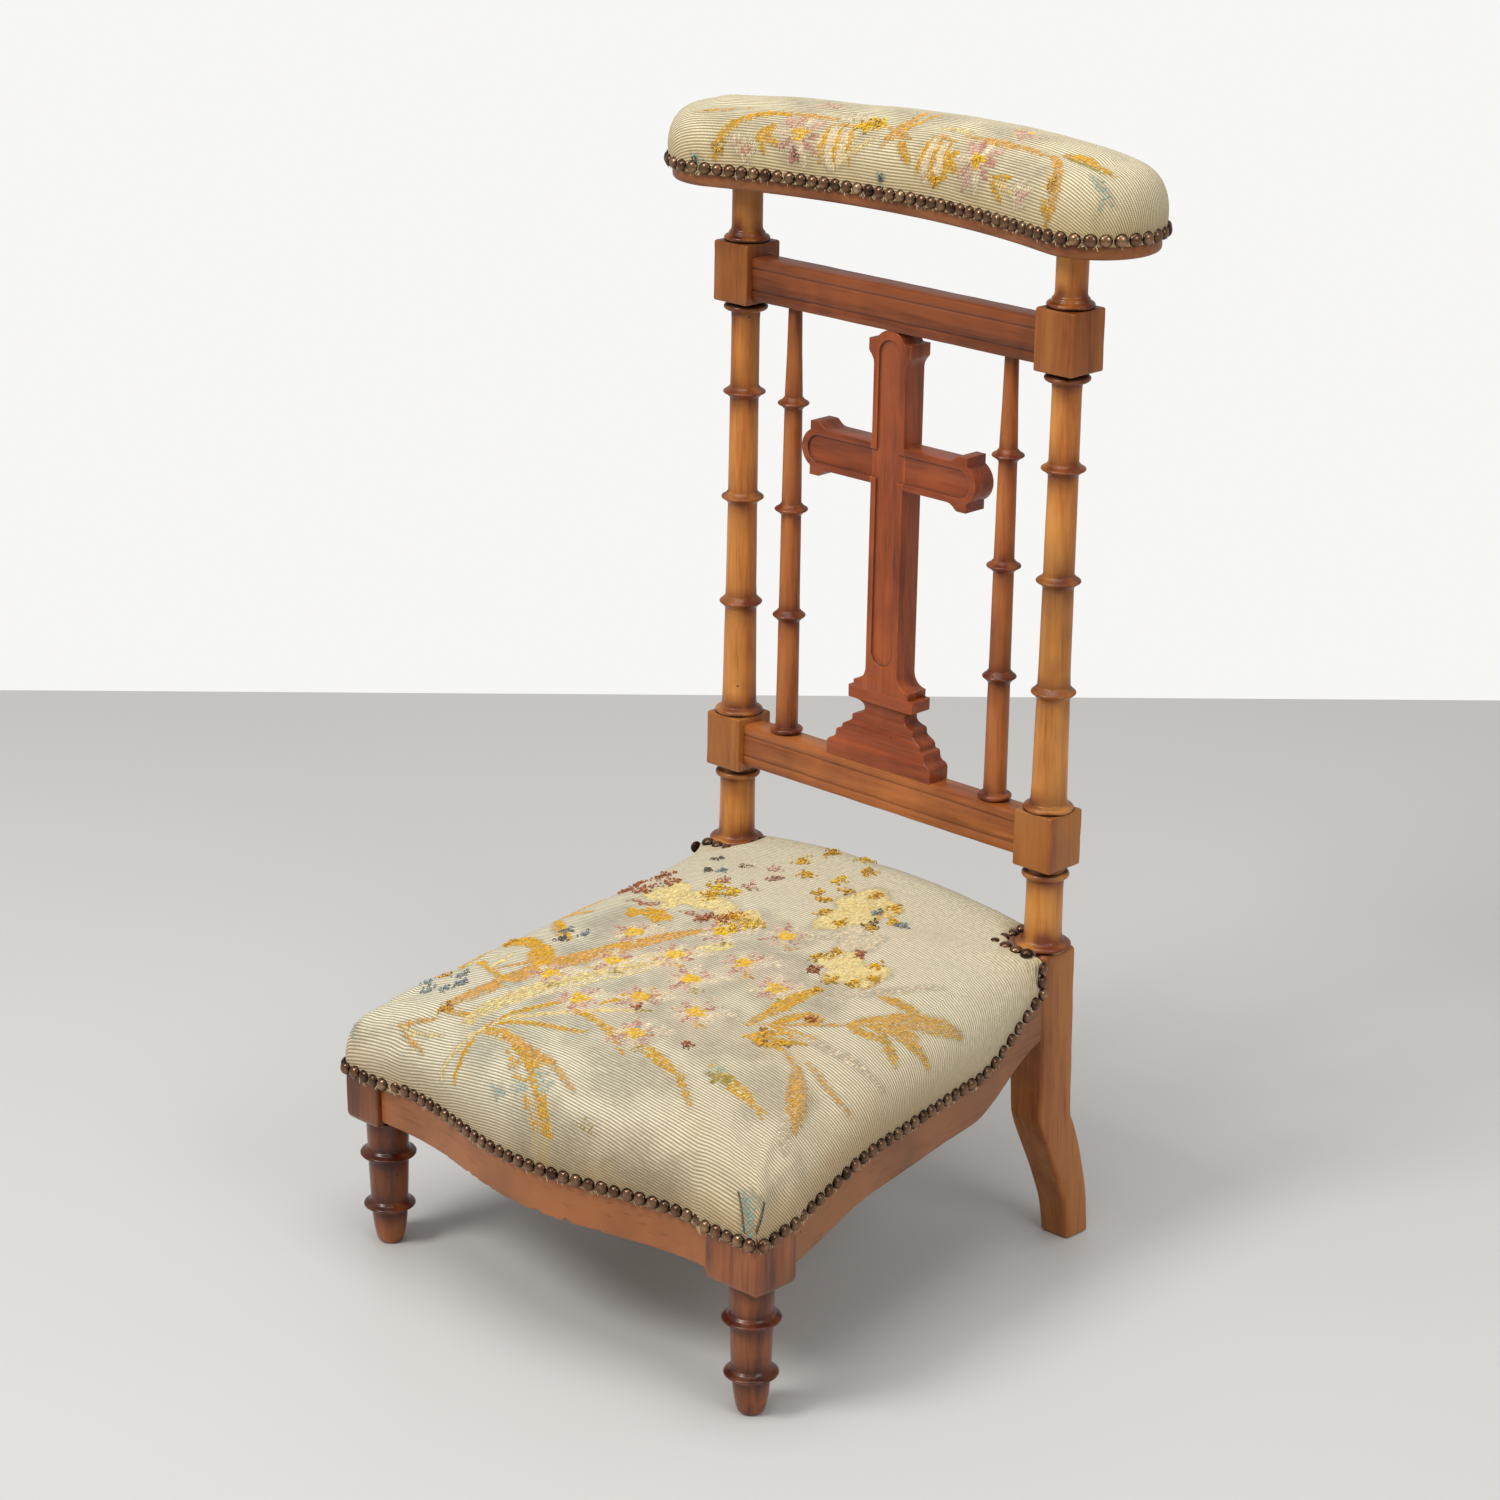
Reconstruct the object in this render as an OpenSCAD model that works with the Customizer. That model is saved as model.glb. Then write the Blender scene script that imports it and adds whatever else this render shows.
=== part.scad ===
// Kneeling bench (prie-dieu) in turned walnut, with a low upholstered kneeling seat and a
// padded armrest on a tall back that frames a cross.
// Frame: +Z up, X across the bench, the kneeler faces +Y, origin on the floor under the
// middle of the whole bench. The front legs stand at -Y.

/* [Front legs] */
// Distance between the axes of the two front legs
front_leg_gap = 386; // [340:1:430]
// Y of the front legs' axes
front_leg_y = -200; // [-210:0.5:-190]
// Height of the turned part below the square block
front_turned_h = 102; // [90:1:120]
// Diameter of the turned part just under the block
front_turned_d = 33; // [28:0.5:36]
// Width of the block that takes the seat rails
front_block_w = 51; // [44:1:56]
// Depth of the block that takes the seat rails
front_block_d = 41; // [38:1:50]

/* [Rear posts] */
// Distance between the axes of the two rear posts
post_gap = 321; // [300:1:340]
// Y of the rear posts' axes at floor level
post_y = 148.5; // [140:0.5:160]
// Backward lean of the posts and of all they carry, in degrees
rake = 0.9; // [0:0.1:3]
// Width of the posts' square blocks
post_w = 35.4; // [32:0.2:40]
// Depth of the posts' square blocks
post_d = 37.4; // [32:0.2:42]
// Height of the square foot part, where the turning starts
seat_level = 245; // [235:1:260]
// How far the rear foot kicks back at the floor
foot_kick = 36; // [20:1:45]

/* [Back frame] */
// Bottom of the lower back rail
lower_rail_z = 316.5; // [300:0.5:330]
// Bottom of the upper back rail
upper_rail_z = 694.5; // [660:0.5:710]
// Height of the two back rails
back_rail_h = 33.5; // [28:0.5:40]
// Thickness of the two back rails
back_rail_t = 22; // [18:0.5:26]
// Distance of each spindle from the middle
spindle_x = 108; // [95:1:120]

/* [Cross] */
// Width of the shaft and of the arm
cross_w = 32; // [24:1:40]
// Thickness of the cross
cross_t = 21.6; // [16:0.2:26]
// Half the length of the arm
cross_reach = 87.5; // [70:0.5:95]
// Height of the arm's middle line above the floor
cross_arm_z = 590.7; // [540:0.1:620]
// Depth of the sunk panel in the front face
panel_depth = 1.8; // [0.5:0.1:3]

/* [Seat frame] */
// Height of the seat rails' flat top at the front legs' axes
deck_z = 164; // [155:1:175]
// Rise of the seat rails' top per millimetre towards the back
deck_rise = 0.154; // [0.1:0.002:0.2]
// How far the middle of the front rail bows forward
front_bow = 23; // [5:1:26]
// Thickness of the front, side and back seat rails
seat_rail_t = 24; // [20:1:28]
// Height of the front rail's lower edge
front_rail_z = 108; // [104:1:120]

/* [Armrest] */
// Underside of the armrest board
board_z = 783; // [760:1:800]
// Thickness of the armrest board
board_t = 20; // [16:1:24]
// Radius of the armrest's curved centre line
arm_bend_r = 555; // [450:5:800]
// Half the distance between the centres of the two round ends
arm_end_x = 180; // [165:1:190]
// Half the width of the board
board_half_w = 46; // [40:0.5:52]
// Height of the pad above the board
pad_h = 53; // [40:1:65]

/* [Upholstery] */
// Thickness of the needlework cover
cover_t = 2; // [1.5:0.1:3]
// Height of the seat's crown above the deck at the front
seat_crown_front = 52; // [35:1:65]
// Height of the seat's crown above the deck at the back
seat_crown_back = 45; // [30:1:60]
// Width of the jute webbing
web_w = 50; // [40:1:60]

/* [Nails] */
// Diameter of a dome-headed nail
nail_d = 9.6; // [8:0.1:11]
// Height of the dome
nail_h = 3.6; // [2.5:0.1:4.5]
// Spacing of the nails
nail_pitch = 10.6; // [10:0.1:14]

/* [Hidden] */
$fn = 64;
eps = 0.01;
leg_x = front_leg_gap/2;
post_x = post_gap/2;
front_y = front_leg_y - front_block_d/2;      // front faces of the leg blocks
block_back_y = front_leg_y + front_block_d/2;
block_in_x = 166;                             // inner faces of the leg blocks
block_out_x = block_in_x + front_block_w;
rear_face_y = 130;                            // front faces of the rear legs at seat height
back_face_y = 168;                            // outer face of the back seat rail
side_front_x = 214;                           // side rails' outer face at the front joint
side_rear_x = 178.5;                          // side rails' outer face at the rear joint
rail_front_y = front_y + 4.5;                 // front rail's face beside the blocks
bow_half = 155;                               // half the bowed length of the front rail
post_in_x = post_x - post_w/2;
back_mid = -2;                                // middle of the back rails, from the posts' plane
back_face = back_mid - back_rail_t/2;
cross_face = back_face + 1;
cross_foot_z = 410;
arm_y = post_y + tan(rake)*board_z;
bend_y = arm_y + 32.5 - arm_bend_r;           // centre of the armrest's curve
end_y = bend_y + sqrt(pow(arm_bend_r, 2) - pow(arm_end_x, 2));
end_angle = asin(arm_end_x/arm_bend_r);
stuff_top = board_z + board_t;
tenon_l = 18;
tenon_t = 9;

WALNUT = "#8a5230";
WALNUT_GOLD = "#a86c38";
WALNUT_DARK = "#5e3a26";
BEECH = "#c9a06a";
NEEDLEWORK = "#b9b49a";
HORSEHAIR = "#4a3b2c";
JUTE = "#b08d5a";
BRASS = "#6d5334";
IRON = "#4b4b4b";

// ---------- curves ----------

// Height of the seat rails' top at y
function deck(y) = deck_z + deck_rise*(y - front_leg_y);

// Face of the front rail at x: flat at the ends, bowed forward in the middle
function front_face(x) =
  rail_front_y - (abs(x) < bow_half ? front_bow*pow(cos(90*x/bow_half), 2) : 0);

// Smooth step from 0 to 1 as v goes from a to b
function ease(v, a, b) = let (t = min(1, max(0, (v - a)/(b - a)))) t*t*(3 - 2*t);

// Lower edge of the side rails at y: up, level, and up again to the rear leg
function side_edge(y) =
  114 + 20*ease(y, block_back_y - 15, front_leg_y + 120)
      + 6*ease(y, front_leg_y + 100, front_leg_y + 240)
      + 36*ease(y, front_leg_y + 240, rear_face_y + 5);

// Nail line: the side rail's shape again, 38 mm higher
show_h = 38;
function nail_line(y) = y < block_back_y
  ? 146 + 6*ease(y, front_y, block_back_y)
  : show_h + side_edge(y) + 5*ease(y, rear_face_y - 30, rear_face_y);

// Outer face of the side rails at y
function side_x(y) = side_front_x
  + (side_rear_x - side_front_x)*(y - block_back_y)/(rear_face_y - block_back_y);

// ---------- helpers ----------

module both_sides() {
  children();
  mirror([1, 0, 0]) children();
}

module raked() {
  translate([0, post_y, 0]) rotate([-rake, 0, 0]) children();
}

// Block given by its lowest and highest corners
module box(low, high) {
  translate(low) cube(high - low);
}

// Sheet in the YZ plane, extruded along X between x0 and x1
module along_x(x0, x1) {
  translate([x0, 0, 0]) rotate([90, 0, 90]) linear_extrude(x1 - x0) children();
}

// Sheet in the XZ plane, extruded along Y between y0 and y1
module along_y(y0, y1) {
  translate([0, y1, 0]) rotate([90, 0, 0]) linear_extrude(y1 - y0) children();
}

// Outline of a turned ring with a sharp rim: column radius r0, rim radius r1, middle height z
function ring(r0, r1, z) = [[r0, z - 4.6], [r0 + 1.2, z - 4.6], [r0 + 1.6, z - 3.6],
  [r1 - 0.6, z - 1.2], [r1, z - 0.2], [r1 - 0.6, z + 0.8], [r0 + 1.6, z + 3.2],
  [r0 + 1.2, z + 4.4], [r0, z + 4.4]];

// Outline of a rounded collar between z0 and z1, bulging from r0 to r1
function collar(r0, r1, z0, z1) = [for (i = [0:6]) let (a = 180*i/6 - 90)
  [r0 + (r1 - r0)*cos(a), (z0 + z1)/2 + (z1 - z0)/2*sin(a)]];

module turned(profile) {
  bottom = profile[0][1];
  top = profile[len(profile) - 1][1];
  rotate_extrude() polygon(concat([[0, bottom]], profile, [[0, top]]));
}

// ---------- front legs ----------

front_profile = let (r = front_turned_d/2) concat(
  [[7, 0], [9.6, 1.2], [11.6, 8], [13.2, 20], [14, 27]],
  ring(14, 20.2, 32),
  [[14.2, 40], [15, 56], [15.6, 66]],
  ring(15.6, 22, 75.4),
  [[16, 84], [r, front_turned_h + 1]]);

module front_leg(lap) {
  color(WALNUT_DARK) difference() {
    union() {
      translate([leg_x, front_leg_y, 0]) turned(front_profile);
      box([block_in_x, front_y, front_turned_h], [block_out_x, block_back_y, deck(front_leg_y)]);
    }
    // mortises for the front and side rails
    box([block_in_x - 1, front_leg_y - 5, front_rail_z + 6],
      [block_in_x + tenon_l, front_leg_y - 5 + tenon_t, deck(front_y) - 12]);
    box([leg_x + 2, block_back_y - tenon_l, front_rail_z + 12],
      [leg_x + 2 + tenon_t, block_back_y + 1, deck(front_y) - 8]);
    // lap in the face of the block, where the front rail's end runs on over it
    if (lap > 0) box([block_in_x - 1, front_y - 1, front_rail_z],
      [block_in_x + lap, rail_front_y + 9, deck(front_leg_y) + 1]);
    // slope of the seat's deck over the block
    deck_cut();
  }
}

// All that is above the deck
module deck_cut() {
  along_x(-260, 260) polygon([[-280, deck(-280)], [260, deck(260)], [260, 400], [-280, 400]]);
}

left_lap = 15;
module front_leg_left() { mirror([1, 0, 0]) front_leg(left_lap); }
module front_leg_right() { front_leg(0); }

// ---------- rear posts ----------

post_profile = concat([[17.4, seat_level - 3]],
  collar(17.4, 22, seat_level, seat_level + 4.5),
  [[15.8, seat_level + 6], [14.6, seat_level + 9], [14.1, 290], [14.2, 300]],
  collar(14.2, 18.2, 301, 307), [[14.2, 308], [14.2, 320]],
  [[14.2, 352]], collar(14.2, 19.2, 354, 360), [[14, 362], [13.4, 382], [12.6, 434]],
  ring(12.5, 17.3, 447.6), [[12, 464], [11.6, 516]],
  ring(11.6, 17.1, 533.4), [[11.5, 548], [11.3, 604]],
  ring(11.3, 17, 618.4), [[11.2, 632], [11, 676]],
  collar(11, 17.4, 683, 689), [[11.5, 690], [11.5, 737]],
  collar(11.5, 18, 737.5, 742.5), [[14.2, 742.6], [14.2, 744.6], [12, 746], [11.6, 800]]);

// Kicked-back foot: distance behind the upright faces at height z
function kick_front(z) = foot_kick*pow(sin(90*max(0, 112 - z)/112), 1.3);
function kick_back(z) = (foot_kick - 12)*pow(sin(90*max(0, 106 - z)/106), 0.85);

module foot_side() {
  steps = [for (z = [-4:8:112]) z];
  polygon(concat(
    [for (z = steps) [kick_front(z) - post_d/2, z]],
    [[-post_d/2, seat_level], [post_d/2, seat_level]],
    [for (i = [len(steps) - 1:-1:0]) [post_d/2 + kick_back(steps[i]), steps[i]]]));
}

module foot_front() {
  polygon([[157, -6], [184.8, -6], [post_x + post_w/2, seat_level], [post_in_x, seat_level]]);
}

module post_block(z0, z1) {
  translate([post_x - post_w/2, -post_d/2, z0]) cube([post_w, post_d, z1 - z0]);
}

module rear_post() {
  color(WALNUT_GOLD) difference() {
    raked() {
      intersection() {
        along_x(140, 190) foot_side();
        along_y(-60, 90) foot_front();
      }
      translate([post_x, 0, 0]) turned(post_profile);
      post_block(310.8, 355.2);
      post_block(690.6, 737.7);
      translate([post_x, 0, 770]) cylinder(d = 16, h = 25);
    }
    box([100, 0, -20], [220, 300, 0]);
    // shoulder under the armrest board, around the round tenon
    difference() {
      box([100, 100, board_z], [220, 220, board_z + 60]);
      raked() translate([post_x, 0, 700]) cylinder(d = 16, h = 95);
    }
    rail_tenons(0.5);
    side_tenon_rear(0.5);
    back_tenon(0.5);
  }
}

module rear_post_left() { mirror([1, 0, 0]) rear_post(); }
module rear_post_right() { rear_post(); }

// Right-hand tenons of the two back rails; extra lengthens the mortise past the tenon's end
module rail_tenons(extra) {
  raked() for (z = [lower_rail_z, upper_rail_z])
    translate([post_in_x - 1, back_mid - tenon_t/2, z + 5])
      cube([tenon_l + 1 + extra, tenon_t, back_rail_h - 10]);
}

// ---------- seat frame ----------

module front_seat_rail() {
  xs = [for (x = [-bow_half:10:bow_half]) x];
  end_y_front = rail_front_y + 8;
  color(WALNUT) difference() {
    union() {
      translate([0, 0, front_rail_z]) linear_extrude(60) polygon(concat(
        [[-block_in_x, rail_front_y]], [for (x = xs) [x, front_face(x)]],
        [[block_in_x, rail_front_y], [block_in_x, rail_front_y + seat_rail_t]],
        [for (i = [len(xs) - 1:-1:0]) [xs[i], front_face(xs[i]) + seat_rail_t]],
        [[-block_in_x, rail_front_y + seat_rail_t]]));
      both_sides() box([block_in_x - 5, front_leg_y - 5, front_rail_z + 6],
        [block_in_x + tenon_l - 0.5, front_leg_y - 5 + tenon_t, deck(front_y) - 12]);
      box([-block_in_x - left_lap, rail_front_y, front_rail_z],
        [-block_in_x + 1, end_y_front, deck(front_leg_y)]);
    }
    deck_cut();
  }
}

module side_seat_rail() {
  end_y = rear_face_y + 6;
  ys = [for (i = [0:30]) block_back_y + (end_y - block_back_y)*i/30];
  color(WALNUT) union() {
    difference() {
      intersection() {
        linear_extrude(300) polygon([[side_front_x, block_back_y], [side_x(end_y), end_y],
          [side_x(end_y) - seat_rail_t, end_y], [side_front_x - seat_rail_t, block_back_y]]);
        along_x(120, 240) polygon(concat([for (y = ys) [y, side_edge(y)]],
          [[end_y, deck(end_y)], [block_back_y, deck(block_back_y)]]));
      }
      // shoulder against the rear leg
      raked() box([100, -post_d/2, 0], [220, post_d, 300]);
    }
    box([leg_x + 2, block_back_y - tenon_l + 0.5, front_rail_z + 12],
      [leg_x + 2 + tenon_t, block_back_y + 1, deck(front_y) - 8]);
    side_tenon_rear(0);
  }
}

// Rear tenon of a side rail; extra lengthens the mortise past the tenon's end
module side_tenon_rear(extra) {
  box([post_x - 6, rear_face_y - 1, 184], [post_x - 6 + tenon_t, rear_face_y + tenon_l + extra, 206]);
}

module side_seat_rail_left() { mirror([1, 0, 0]) side_seat_rail(); }
module side_seat_rail_right() { side_seat_rail(); }

back_rail_low = 165;
module back_tenon(extra) {
  box([130, back_face_y - 17, back_rail_low + 6], [post_in_x + 16 + extra, back_face_y - 9, 180]);
}

module back_seat_rail() {
  color(WALNUT) union() {
    difference() {
      box([-150, back_face_y - seat_rail_t, back_rail_low], [150, back_face_y, 230]);
      both_sides() raked() along_y(-60, 90) foot_front();
      deck_cut();
    }
    both_sides() back_tenon(0);
  }
}

// Glue blocks in the corners of the seat frame
module corner_block_front() {
  inner_y = rail_front_y + seat_rail_t;
  y_far = block_back_y + 44;
  color(BEECH) translate([0, 0, 116]) linear_extrude(34) polygon([[block_in_x, inner_y],
    [block_in_x - 30, inner_y], [side_x(y_far) - seat_rail_t, y_far],
    [side_front_x - seat_rail_t, block_back_y], [block_in_x, block_back_y]]);
}

module corner_block_rear() {
  inner_y = back_face_y - seat_rail_t;
  y_far = rear_face_y - 42;
  y_near = rear_face_y + 1;
  color(BEECH) translate([0, 0, 172]) linear_extrude(32) polygon([[105, inner_y],
    [side_x(y_far) - seat_rail_t, y_far], [side_x(y_near) - seat_rail_t, y_near],
    [post_in_x + 1, y_near], [post_in_x + 1, inner_y]]);
}

module corner_block_front_left() { mirror([1, 0, 0]) corner_block_front(); }
module corner_block_front_right() { corner_block_front(); }
module corner_block_rear_left() { mirror([1, 0, 0]) corner_block_rear(); }
module corner_block_rear_right() { corner_block_rear(); }

// ---------- back frame ----------

spindle_profile = concat(
  [[4.5, lower_rail_z + back_rail_h - 12], [4.5, lower_rail_z + back_rail_h]],
  collar(8.8, 13.2, lower_rail_z + back_rail_h, lower_rail_z + back_rail_h + 5.5),
  [[8.8, 357], [8.7, 385], [8.5, 434]], ring(8.4, 13.3, 447.6),
  [[8.2, 461], [7.9, 520]], ring(7.8, 13.4, 533.8),
  [[7.7, 548], [7.1, 604]], ring(7, 12.6, 618.4),
  [[6.8, 631], [5.9, 660], [5.3, upper_rail_z], [4, upper_rail_z], [4, upper_rail_z + 12]]);

module back_rail(z) {
  face_groove_h = 2;
  color(WALNUT) difference() {
    union() {
      raked() box([-post_in_x, back_face, z], [post_in_x, back_face + back_rail_t, z + back_rail_h]);
      intersection() {
        both_sides() rail_tenons(0);
        raked() box([-200, -40, z], [200, 40, z + back_rail_h]);
      }
    }
    // two grooves run along the face
    raked() for (gz = [z + 8, z + back_rail_h - 7.5])
      box([-post_in_x + 1, back_face - 1, gz], [post_in_x - 1, back_face + 1.2, gz + face_groove_h]);
    both_sides() raked() translate([spindle_x, 0, 0]) turned(spindle_profile);
    raked() cross_tenons();
  }
}

module upper_back_rail() { back_rail(upper_rail_z); }
module lower_back_rail() { back_rail(lower_rail_z); }

module spindle_right() {
  color(WALNUT_GOLD) raked() translate([spindle_x, 0, 0]) turned(spindle_profile);
}
module spindle_left() { mirror([1, 0, 0]) spindle_right(); }

// ---------- cross ----------

// End of an arm pointing along +X: two ears and a round cap; t insets the outline
module cross_end(reach, t) {
  ear = reach - 8.5;
  half = cross_w/2;
  polygon([[0, t - half], [ear - 19, t - half], [ear - 13, t - half - 2], [ear - 9, t - half - 5.3],
    [ear - t, t - half - 5.3], [ear - t, half + 5.3 - t], [ear - 9, half + 5.3 - t],
    [ear - 13, half + 2 - t], [ear - 19, half - t], [0, half - t]]);
  translate([reach - 15.8, 0]) circle(r = 15.8 - t);
}

// Sunk panel's end: straight sides and a round end
module panel_end(reach, t) {
  translate([0, t - cross_w/2]) square([reach - 16, cross_w - 2*t]);
  translate([reach - 16, 0]) circle(r = cross_w/2 - t);
}

cross_top = upper_rail_z - cross_arm_z;
panel_foot = 432;

module shaft_outline() {
  translate([0, cross_arm_z]) rotate(90) cross_end(cross_top + 0.5, 0);
  foot = [for (a = [0:15:90]) [cross_w/2 + 12*(1 - cos(a)), cross_foot_z + 18 - 12*sin(a)]];
  polygon(concat([[0, cross_arm_z], [cross_w/2, cross_arm_z]], foot,
    [[27.8, cross_foot_z + 5], [27.8, cross_foot_z], [-27.8, cross_foot_z],
      [-27.8, cross_foot_z + 5]],
    [for (i = [len(foot) - 1:-1:0]) [-foot[i][0], foot[i][1]]], [[-cross_w/2, cross_arm_z]]));
}

module panel_outline() {
  border = 5;
  for (a = [0, 180]) translate([0, cross_arm_z]) rotate(a) panel_end(cross_reach - 1, border);
  translate([0, cross_arm_z]) rotate(90) panel_end(cross_top - 2, border);
  translate([0, cross_arm_z]) rotate(-90) panel_end(cross_arm_z - panel_foot + 5, border);
}

// Round tenons that hold the cross in the upper rail and the plinth in the lower one
module cross_tenons() {
  translate([0, back_mid + 1, upper_rail_z - 1]) cylinder(d = 10, h = 13);
  translate([0, back_mid + 1, lower_rail_z + back_rail_h - 12]) cylinder(d = 10, h = 24);
}

module shaft_tenons() {
  translate([0, back_mid + 1, upper_rail_z - 1]) cylinder(d = 10, h = 13);
  translate([0, back_mid + 1, cross_foot_z - 12]) cylinder(d = 10, h = 13);
}

lap_y = cross_face + cross_t/2;
module cross_shaft() {
  color(WALNUT) raked() {
    difference() {
      intersection() {
        along_y(cross_face, cross_face + cross_t) shaft_outline();
        box([-60, -60, 0], [60, 60, upper_rail_z]);
      }
      along_y(cross_face - 1, cross_face + panel_depth) panel_outline();
      box([-cross_w/2, lap_y, cross_arm_z - cross_w/2], [cross_w/2, 40, cross_arm_z + cross_w/2]);
    }
    shaft_tenons();
  }
}

module cross_arm() {
  color(WALNUT) raked() difference() {
    along_y(cross_face, cross_face + cross_t) translate([0, cross_arm_z])
      for (a = [0, 180]) rotate(a) cross_end(cross_reach, 0);
    along_y(cross_face - 1, cross_face + panel_depth) panel_outline();
    box([-cross_w/2, -40, cross_arm_z - 40], [cross_w/2, lap_y, cross_arm_z + 40]);
  }
}

// Half widths of the plinth from the rail up: foot, two ogees, neck and cap
plinth_w = [[53.3, 0], [53.3, 11], [51, 13.5], [46.5, 15.5], [45.5, 20], [45, 21.5], [40.5, 22],
  [40, 26], [38, 28], [33, 30.5], [31.5, 31.5], [31.5, 36], [26, 37.5], [21.5, 40], [20.7, 43],
  [21.5, 46], [26, 48.5], [30, 49.5], [33.3, 51], [33.3, 60]];

module cross_plinth() {
  z0 = lower_rail_z + back_rail_h;
  top = cross_foot_z - z0;
  scale_z = top/60;
  function face(w, z) = z > 50 ? cross_face : back_face + (53.3 - w)*0.2;
  color(WALNUT) raked() {
    difference() {
      intersection() {
        along_y(-40, 40) polygon(concat([for (p = plinth_w) [p[0], z0 + p[1]*scale_z]],
          [for (i = [len(plinth_w) - 1:-1:0]) [-plinth_w[i][0], z0 + plinth_w[i][1]*scale_z]]));
        along_x(-60, 60) polygon(concat([for (p = plinth_w) [face(p[0], p[1]), z0 + p[1]*scale_z]],
          [[back_face + back_rail_t, cross_foot_z], [back_face + back_rail_t, z0]]));
      }
      shaft_tenons();
    }
    translate([0, back_mid + 1, z0 - 12]) cylinder(d = 10, h = 13);
  }
}

// ---------- armrest ----------

// Outline of the armrest at distance w from its bent middle line, anticlockwise
arm_steps = 12;
function arm_edge(w) = let (bend = [0, bend_y], ea = end_angle, n = arm_steps) concat(
  [for (i = [0:n]) let (a = -90 - ea + 180*i/n) [arm_end_x + w*cos(a), end_y + w*sin(a)]],
  [for (i = [1:n - 1]) let (a = ea - 2*ea*i/n) bend + (arm_bend_r + w)*[sin(a), cos(a)]],
  [for (i = [0:n]) let (a = 90 + ea + 180*i/n) [-arm_end_x + w*cos(a), end_y + w*sin(a)]],
  [for (i = [1:n - 1]) let (a = -ea + 2*ea*i/n) bend + (arm_bend_r - w)*[sin(a), cos(a)]]);

// Closed form through the armrest outlines at [w, z]: from the lowest to the highest for a
// solid, or down the inside and up the outside for a skin
module arm_form(levels) {
  n = 4*arm_steps;
  points = [for (level = levels) for (p = arm_edge(level[0])) [p[0], p[1], level[1]]];
  last = n*(len(levels) - 1);
  polyhedron(points, concat([[for (i = [0:n - 1]) i]],
    [for (k = [0:len(levels) - 2]) for (i = [0:n - 1]) let (j = (i + 1) % n)
      [n*k + i, n*k + n + i, n*k + n + j, n*k + j]],
    [[for (i = [n - 1:-1:0]) last + i]]));
}

// Levels of the pad: bulging sides and a low crown
function pad_levels(w, z0, h) = concat([[w - 2, z0]],
  [for (a = [0:15:75]) [w*pow(cos(a), 0.7), z0 + 6 + (h - 6)*pow(sin(a), 0.7)]],
  [[w*0.12, z0 + h]]);

// Exact bar along the armrest: half width w, between heights z0 and z1
module arm_bar(w, z0, z1) {
  far = 800;
  difference() {
    translate([0, bend_y, z0]) cylinder(r = arm_bend_r + w, h = z1 - z0);
    translate([0, bend_y, z0 - 1]) cylinder(r = arm_bend_r - w, h = z1 - z0 + 2);
    translate([0, 0, z0 - 1]) linear_extrude(z1 - z0 + 2) difference() {
      translate([-far, bend_y - far]) square(2*far);
      polygon([[0, bend_y], [far*sin(end_angle), bend_y + far*cos(end_angle)],
        [-far*sin(end_angle), bend_y + far*cos(end_angle)]]);
    }
  }
  both_sides() translate([arm_end_x, end_y, z0]) cylinder(r = w, h = z1 - z0);
}

module armrest_board() {
  color(WALNUT) difference() {
    arm_bar(board_half_w, board_z, stuff_top);
    both_sides() raked() translate([post_x, 0, 760]) cylinder(d = 16, h = 36);
  }
}

module armrest_stuffing() {
  color(HORSEHAIR) arm_form(pad_levels(board_half_w + 2, stuff_top, pad_h - cover_t));
}

module armrest_cover() {
  skirt_z = board_z + 10.5;
  inner_w = board_half_w + 0.5;
  inner = concat([[inner_w, skirt_z]], pad_levels(board_half_w + 2, stuff_top, pad_h - cover_t));
  outer = concat([[inner_w + cover_t, skirt_z]],
    pad_levels(board_half_w + 2 + cover_t, stuff_top, pad_h));
  color(NEEDLEWORK) arm_form(concat([for (i = [len(inner) - 1:-1:0]) inner[i]], outer));
}

// ---------- seat upholstery ----------

// Outer plan of the seat, moved out by g; notched around the rear legs unless whole
module seat_plan(g, whole) {
  half = concat([for (x = [0:10:150]) [x, front_face(x) - g]],
    [[block_in_x - g, rail_front_y - g], [block_in_x - g, front_y - g],
      [block_out_x + g, front_y - g], [block_out_x + g, block_back_y + 1],
      [side_front_x + g, block_back_y + 5]],
    whole ? [[side_rear_x + g, back_face_y + g]]
      : [[side_x(rear_face_y) + g, rear_face_y + 1 + g], [post_in_x - 2.3 + g, rear_face_y + 1 + g],
        [post_in_x - 2.3 + g, back_face_y + g]]);
  polygon(concat(half, [for (i = [len(half) - 1:-1:1]) [-half[i][0], half[i][1]]]));
}

module on_deck() {
  translate([0, front_leg_y, deck_z]) rotate([atan(deck_rise), 0, 0]) children();
}

// Quarter round from angle a0, for outlines with rounded shoulders
function quarter(cx, cz, r, a0) = [for (a = [a0:15:a0 + 90]) [cx + r*cos(a), cz + r*sin(a)]];

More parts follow.
